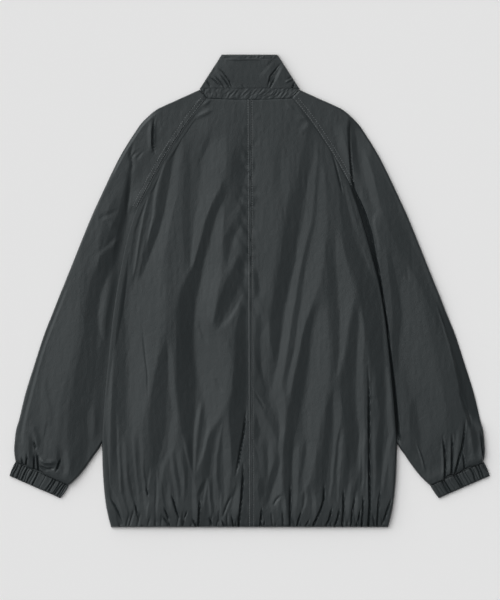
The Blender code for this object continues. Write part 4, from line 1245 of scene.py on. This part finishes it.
# Front zip
# A closed zip down the front, underneath: woven tape, two rows of moulded teeth that mesh, and a metal
# slider with a small pull tab at the top of the chain.
ZIP_LOW, ZIP_HIGH = (corner.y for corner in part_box("front_zip"))
TAPE_HALF = 5.0 * MM
TAPE_FACE = 0.95 * MM
TAPE_WAVES = Waves(0.12 * MM, 9 * MM, 40 * MM, 91)
TAPE_DEEP = (0.012, 0.014, 0.015)
TAPE_PALE = (0.026, 0.030, 0.031)
TOOTH_PITCH = 2.6 * MM
TOOTH_SIZE = (2.6 * MM, 1.2 * MM, 0.9 * MM)


def tape_finish(name):
    """Woven polyester tape, in fine crosswise ribs."""
    material, shader, dye = new_finish(name)
    place = dye.node("ShaderNodeTexCoord", {}, {}, "Object")
    weave = {"Vector": place, "Scale": 380.0, "Distortion": 0.6}
    ribs = dye.node("ShaderNodeTexWave", {"bands_direction": "Y"}, weave)
    relief = dye.node("ShaderNodeBump", {}, {"Height": ribs, "Strength": 0.4, "Distance": 0.2 * MM})
    feed(shader, "Base Color", dye.between(ribs, TAPE_DEEP, TAPE_PALE))
    feed(shader, "Roughness", 0.60 + 0.15 * ribs)
    feed(shader, "Normal", relief)
    return material


def worn_metal(name, deep, pale):
    """Dark plated metal, with a slightly cloudy polish."""
    material, shader, dye = new_finish(name)
    place = dye.node("ShaderNodeTexCoord", {}, {}, "Object")
    cloud = dye.noise(place, 700.0, 3.0)
    feed(shader, "Base Color", dye.between(cloud, deep, pale))
    feed(shader, "Roughness", 0.26 + 0.18 * cloud)
    shader.inputs["Metallic"].default_value = 1.0
    return material


def solid_piece(name, boxes, bevel, finish):
    """Small bevelled blocks in one mesh, each given by its centre and size."""
    shape = bmesh.new()
    for centre, size in boxes:
        cube = bmesh.ops.create_cube(shape, size=1.0)["verts"]
        bmesh.ops.scale(shape, vec=size, verts=cube)
        bmesh.ops.translate(shape, vec=centre, verts=cube)
    mesh = mesh_from(shape, name)
    mesh.shade_smooth()
    mesh.set_sharp_from_angle(angle=CREASE_ANGLE)
    mesh.materials.append(finish)
    piece = show(name, mesh)
    edge = piece.modifiers.new("Edge", "BEVEL")
    edge.width = bevel
    edge.segments = 2
    return piece


tape = tape_finish("zip_tape")
tooth_finish = worn_metal("zip_teeth", (0.05, 0.055, 0.058), (0.09, 0.095, 0.10))
slider_finish = worn_metal("slider_metal", (0.10, 0.105, 0.11), (0.17, 0.175, 0.18))
share = np.linspace(0.0, 1.0, 13)[None, :]
y = np.linspace(ZIP_HIGH, ZIP_LOW, 181)[:, None]
x = TAPE_HALF * (2.0 * share - 1.0) + np.zeros_like(y)
z = TAPE_FACE + wave_height(TAPE_WAVES, x, y)
tape_piece = lay_cloth("front_zip_tape", x, y, z, tape, False)
dress(tape_piece, "front_zip")
teeth = []
for side in SIDES.values():
    offset = 0.25 if side == LEFT else 0.75
    for number in range(int((ZIP_HIGH - ZIP_LOW) / TOOTH_PITCH)):
        centre = (side * 0.8 * MM, ZIP_LOW + (number + offset) * TOOTH_PITCH, 0.5 * MM)
        teeth.append((centre, TOOTH_SIZE))
teeth_piece = solid_piece("zip_teeth", teeth, 0.2 * MM, tooth_finish)
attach(teeth_piece, "root")
slider_low, slider_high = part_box("zip_slider")
slider_y = 0.5 * (slider_low.y + slider_high.y)
slider_boxes = [
    ((0.0, slider_y, 0.55 * MM), (8 * MM, 12 * MM, 0.7 * MM)),
    ((0.0, slider_y, 2.2 * MM), (7.6 * MM, 11 * MM, 0.7 * MM)),
    ((0.0, slider_y + 3.6 * MM, 1.4 * MM), (2.4 * MM, 3.6 * MM, 1.2 * MM)),
    ((0.0, slider_y - 8.0 * MM, 0.28 * MM), (4.6 * MM, 20 * MM, 0.5 * MM)),
]
slider = solid_piece("zip_slider_metal", slider_boxes, 0.22 * MM, slider_finish)
dress(slider, "zip_slider")

# Floor, light and camera
# A plain pale floor, a wide soft light from the upper left, and a camera straight above the jacket.
# The photograph is 500 by 600 pixels, and its frame is 1.035 m high at the floor.
FRAME_HEIGHT = 1.035
FRAME_CENTRE = (0.0007, NECK_Y - 0.34845)
CAMERA_HEIGHT = 4.0
SENSOR = 36.0
FLOOR_TONE = (0.88, 0.88, 0.88)
FLOOR_HALF = 30.0

floor_finish, floor_shader, _ = new_finish("pale_floor")
floor_shader.inputs["Base Color"].default_value = (*FLOOR_TONE, 1.0)
floor_shader.inputs["Roughness"].default_value = 0.9
floor_shader.inputs["Specular IOR Level"].default_value = 0.0
floor_grid = bmesh.new()
bmesh.ops.create_grid(floor_grid, x_segments=1, y_segments=1, size=FLOOR_HALF)
floor_mesh = mesh_from(floor_grid, "floor")
floor_mesh.materials.append(floor_finish)
floor = show("floor", floor_mesh)

LIGHT_FROM = (-0.62, 0.42, 0.66)
SKY_DARK, SKY_DIM, SKY_GLOW = 0.09, 0.36, 1.58
SUN_STRENGTH = 0.4
SUN_ANGLE = math.radians(24)
SUN_TURN = (math.radians(-32), math.radians(-38), 0.0)
world = bpy.data.worlds.new("studio")
bpy.context.scene.world = world
world.use_nodes = True
sky = Dye(world.node_tree)
toward = sky.node("ShaderNodeTexCoord", {}, {}, "Generated")
facing = sky.node("ShaderNodeVectorMath", {"operation": "DOT_PRODUCT"}, {0: toward, 1: LIGHT_FROM}, "Value")
around = sky.node(
    "ShaderNodeMapRange", {"interpolation_type": "LINEAR"},
    {"Value": facing, "From Min": -0.55, "From Max": 0.5, "To Min": SKY_DARK, "To Max": SKY_DIM},
)
glow = sky.node(
    "ShaderNodeMapRange", {"interpolation_type": "SMOOTHSTEP"},
    {"Value": facing, "From Min": 0.46, "From Max": 1.0, "To Min": 0.0, "To Max": SKY_GLOW},
)
world.node_tree.links.new((around + glow).socket, world.node_tree.nodes["Background"].inputs["Strength"])
world.node_tree.nodes["Background"].inputs["Color"].default_value = (1.0, 1.0, 1.0, 1.0)

sun_data = bpy.data.lights.new("window", "SUN")
sun_data.energy = SUN_STRENGTH
sun_data.angle = SUN_ANGLE
sun = show("window", sun_data)
sun.rotation_euler = SUN_TURN

camera_data = bpy.data.cameras.new("camera")
camera_data.sensor_width = SENSOR
camera_data.lens = SENSOR * CAMERA_HEIGHT / FRAME_HEIGHT
camera = show("camera", camera_data)
camera.location = (*FRAME_CENTRE, CAMERA_HEIGHT)
bpy.context.scene.camera = camera
bpy.context.scene.view_settings.view_transform = "Standard"
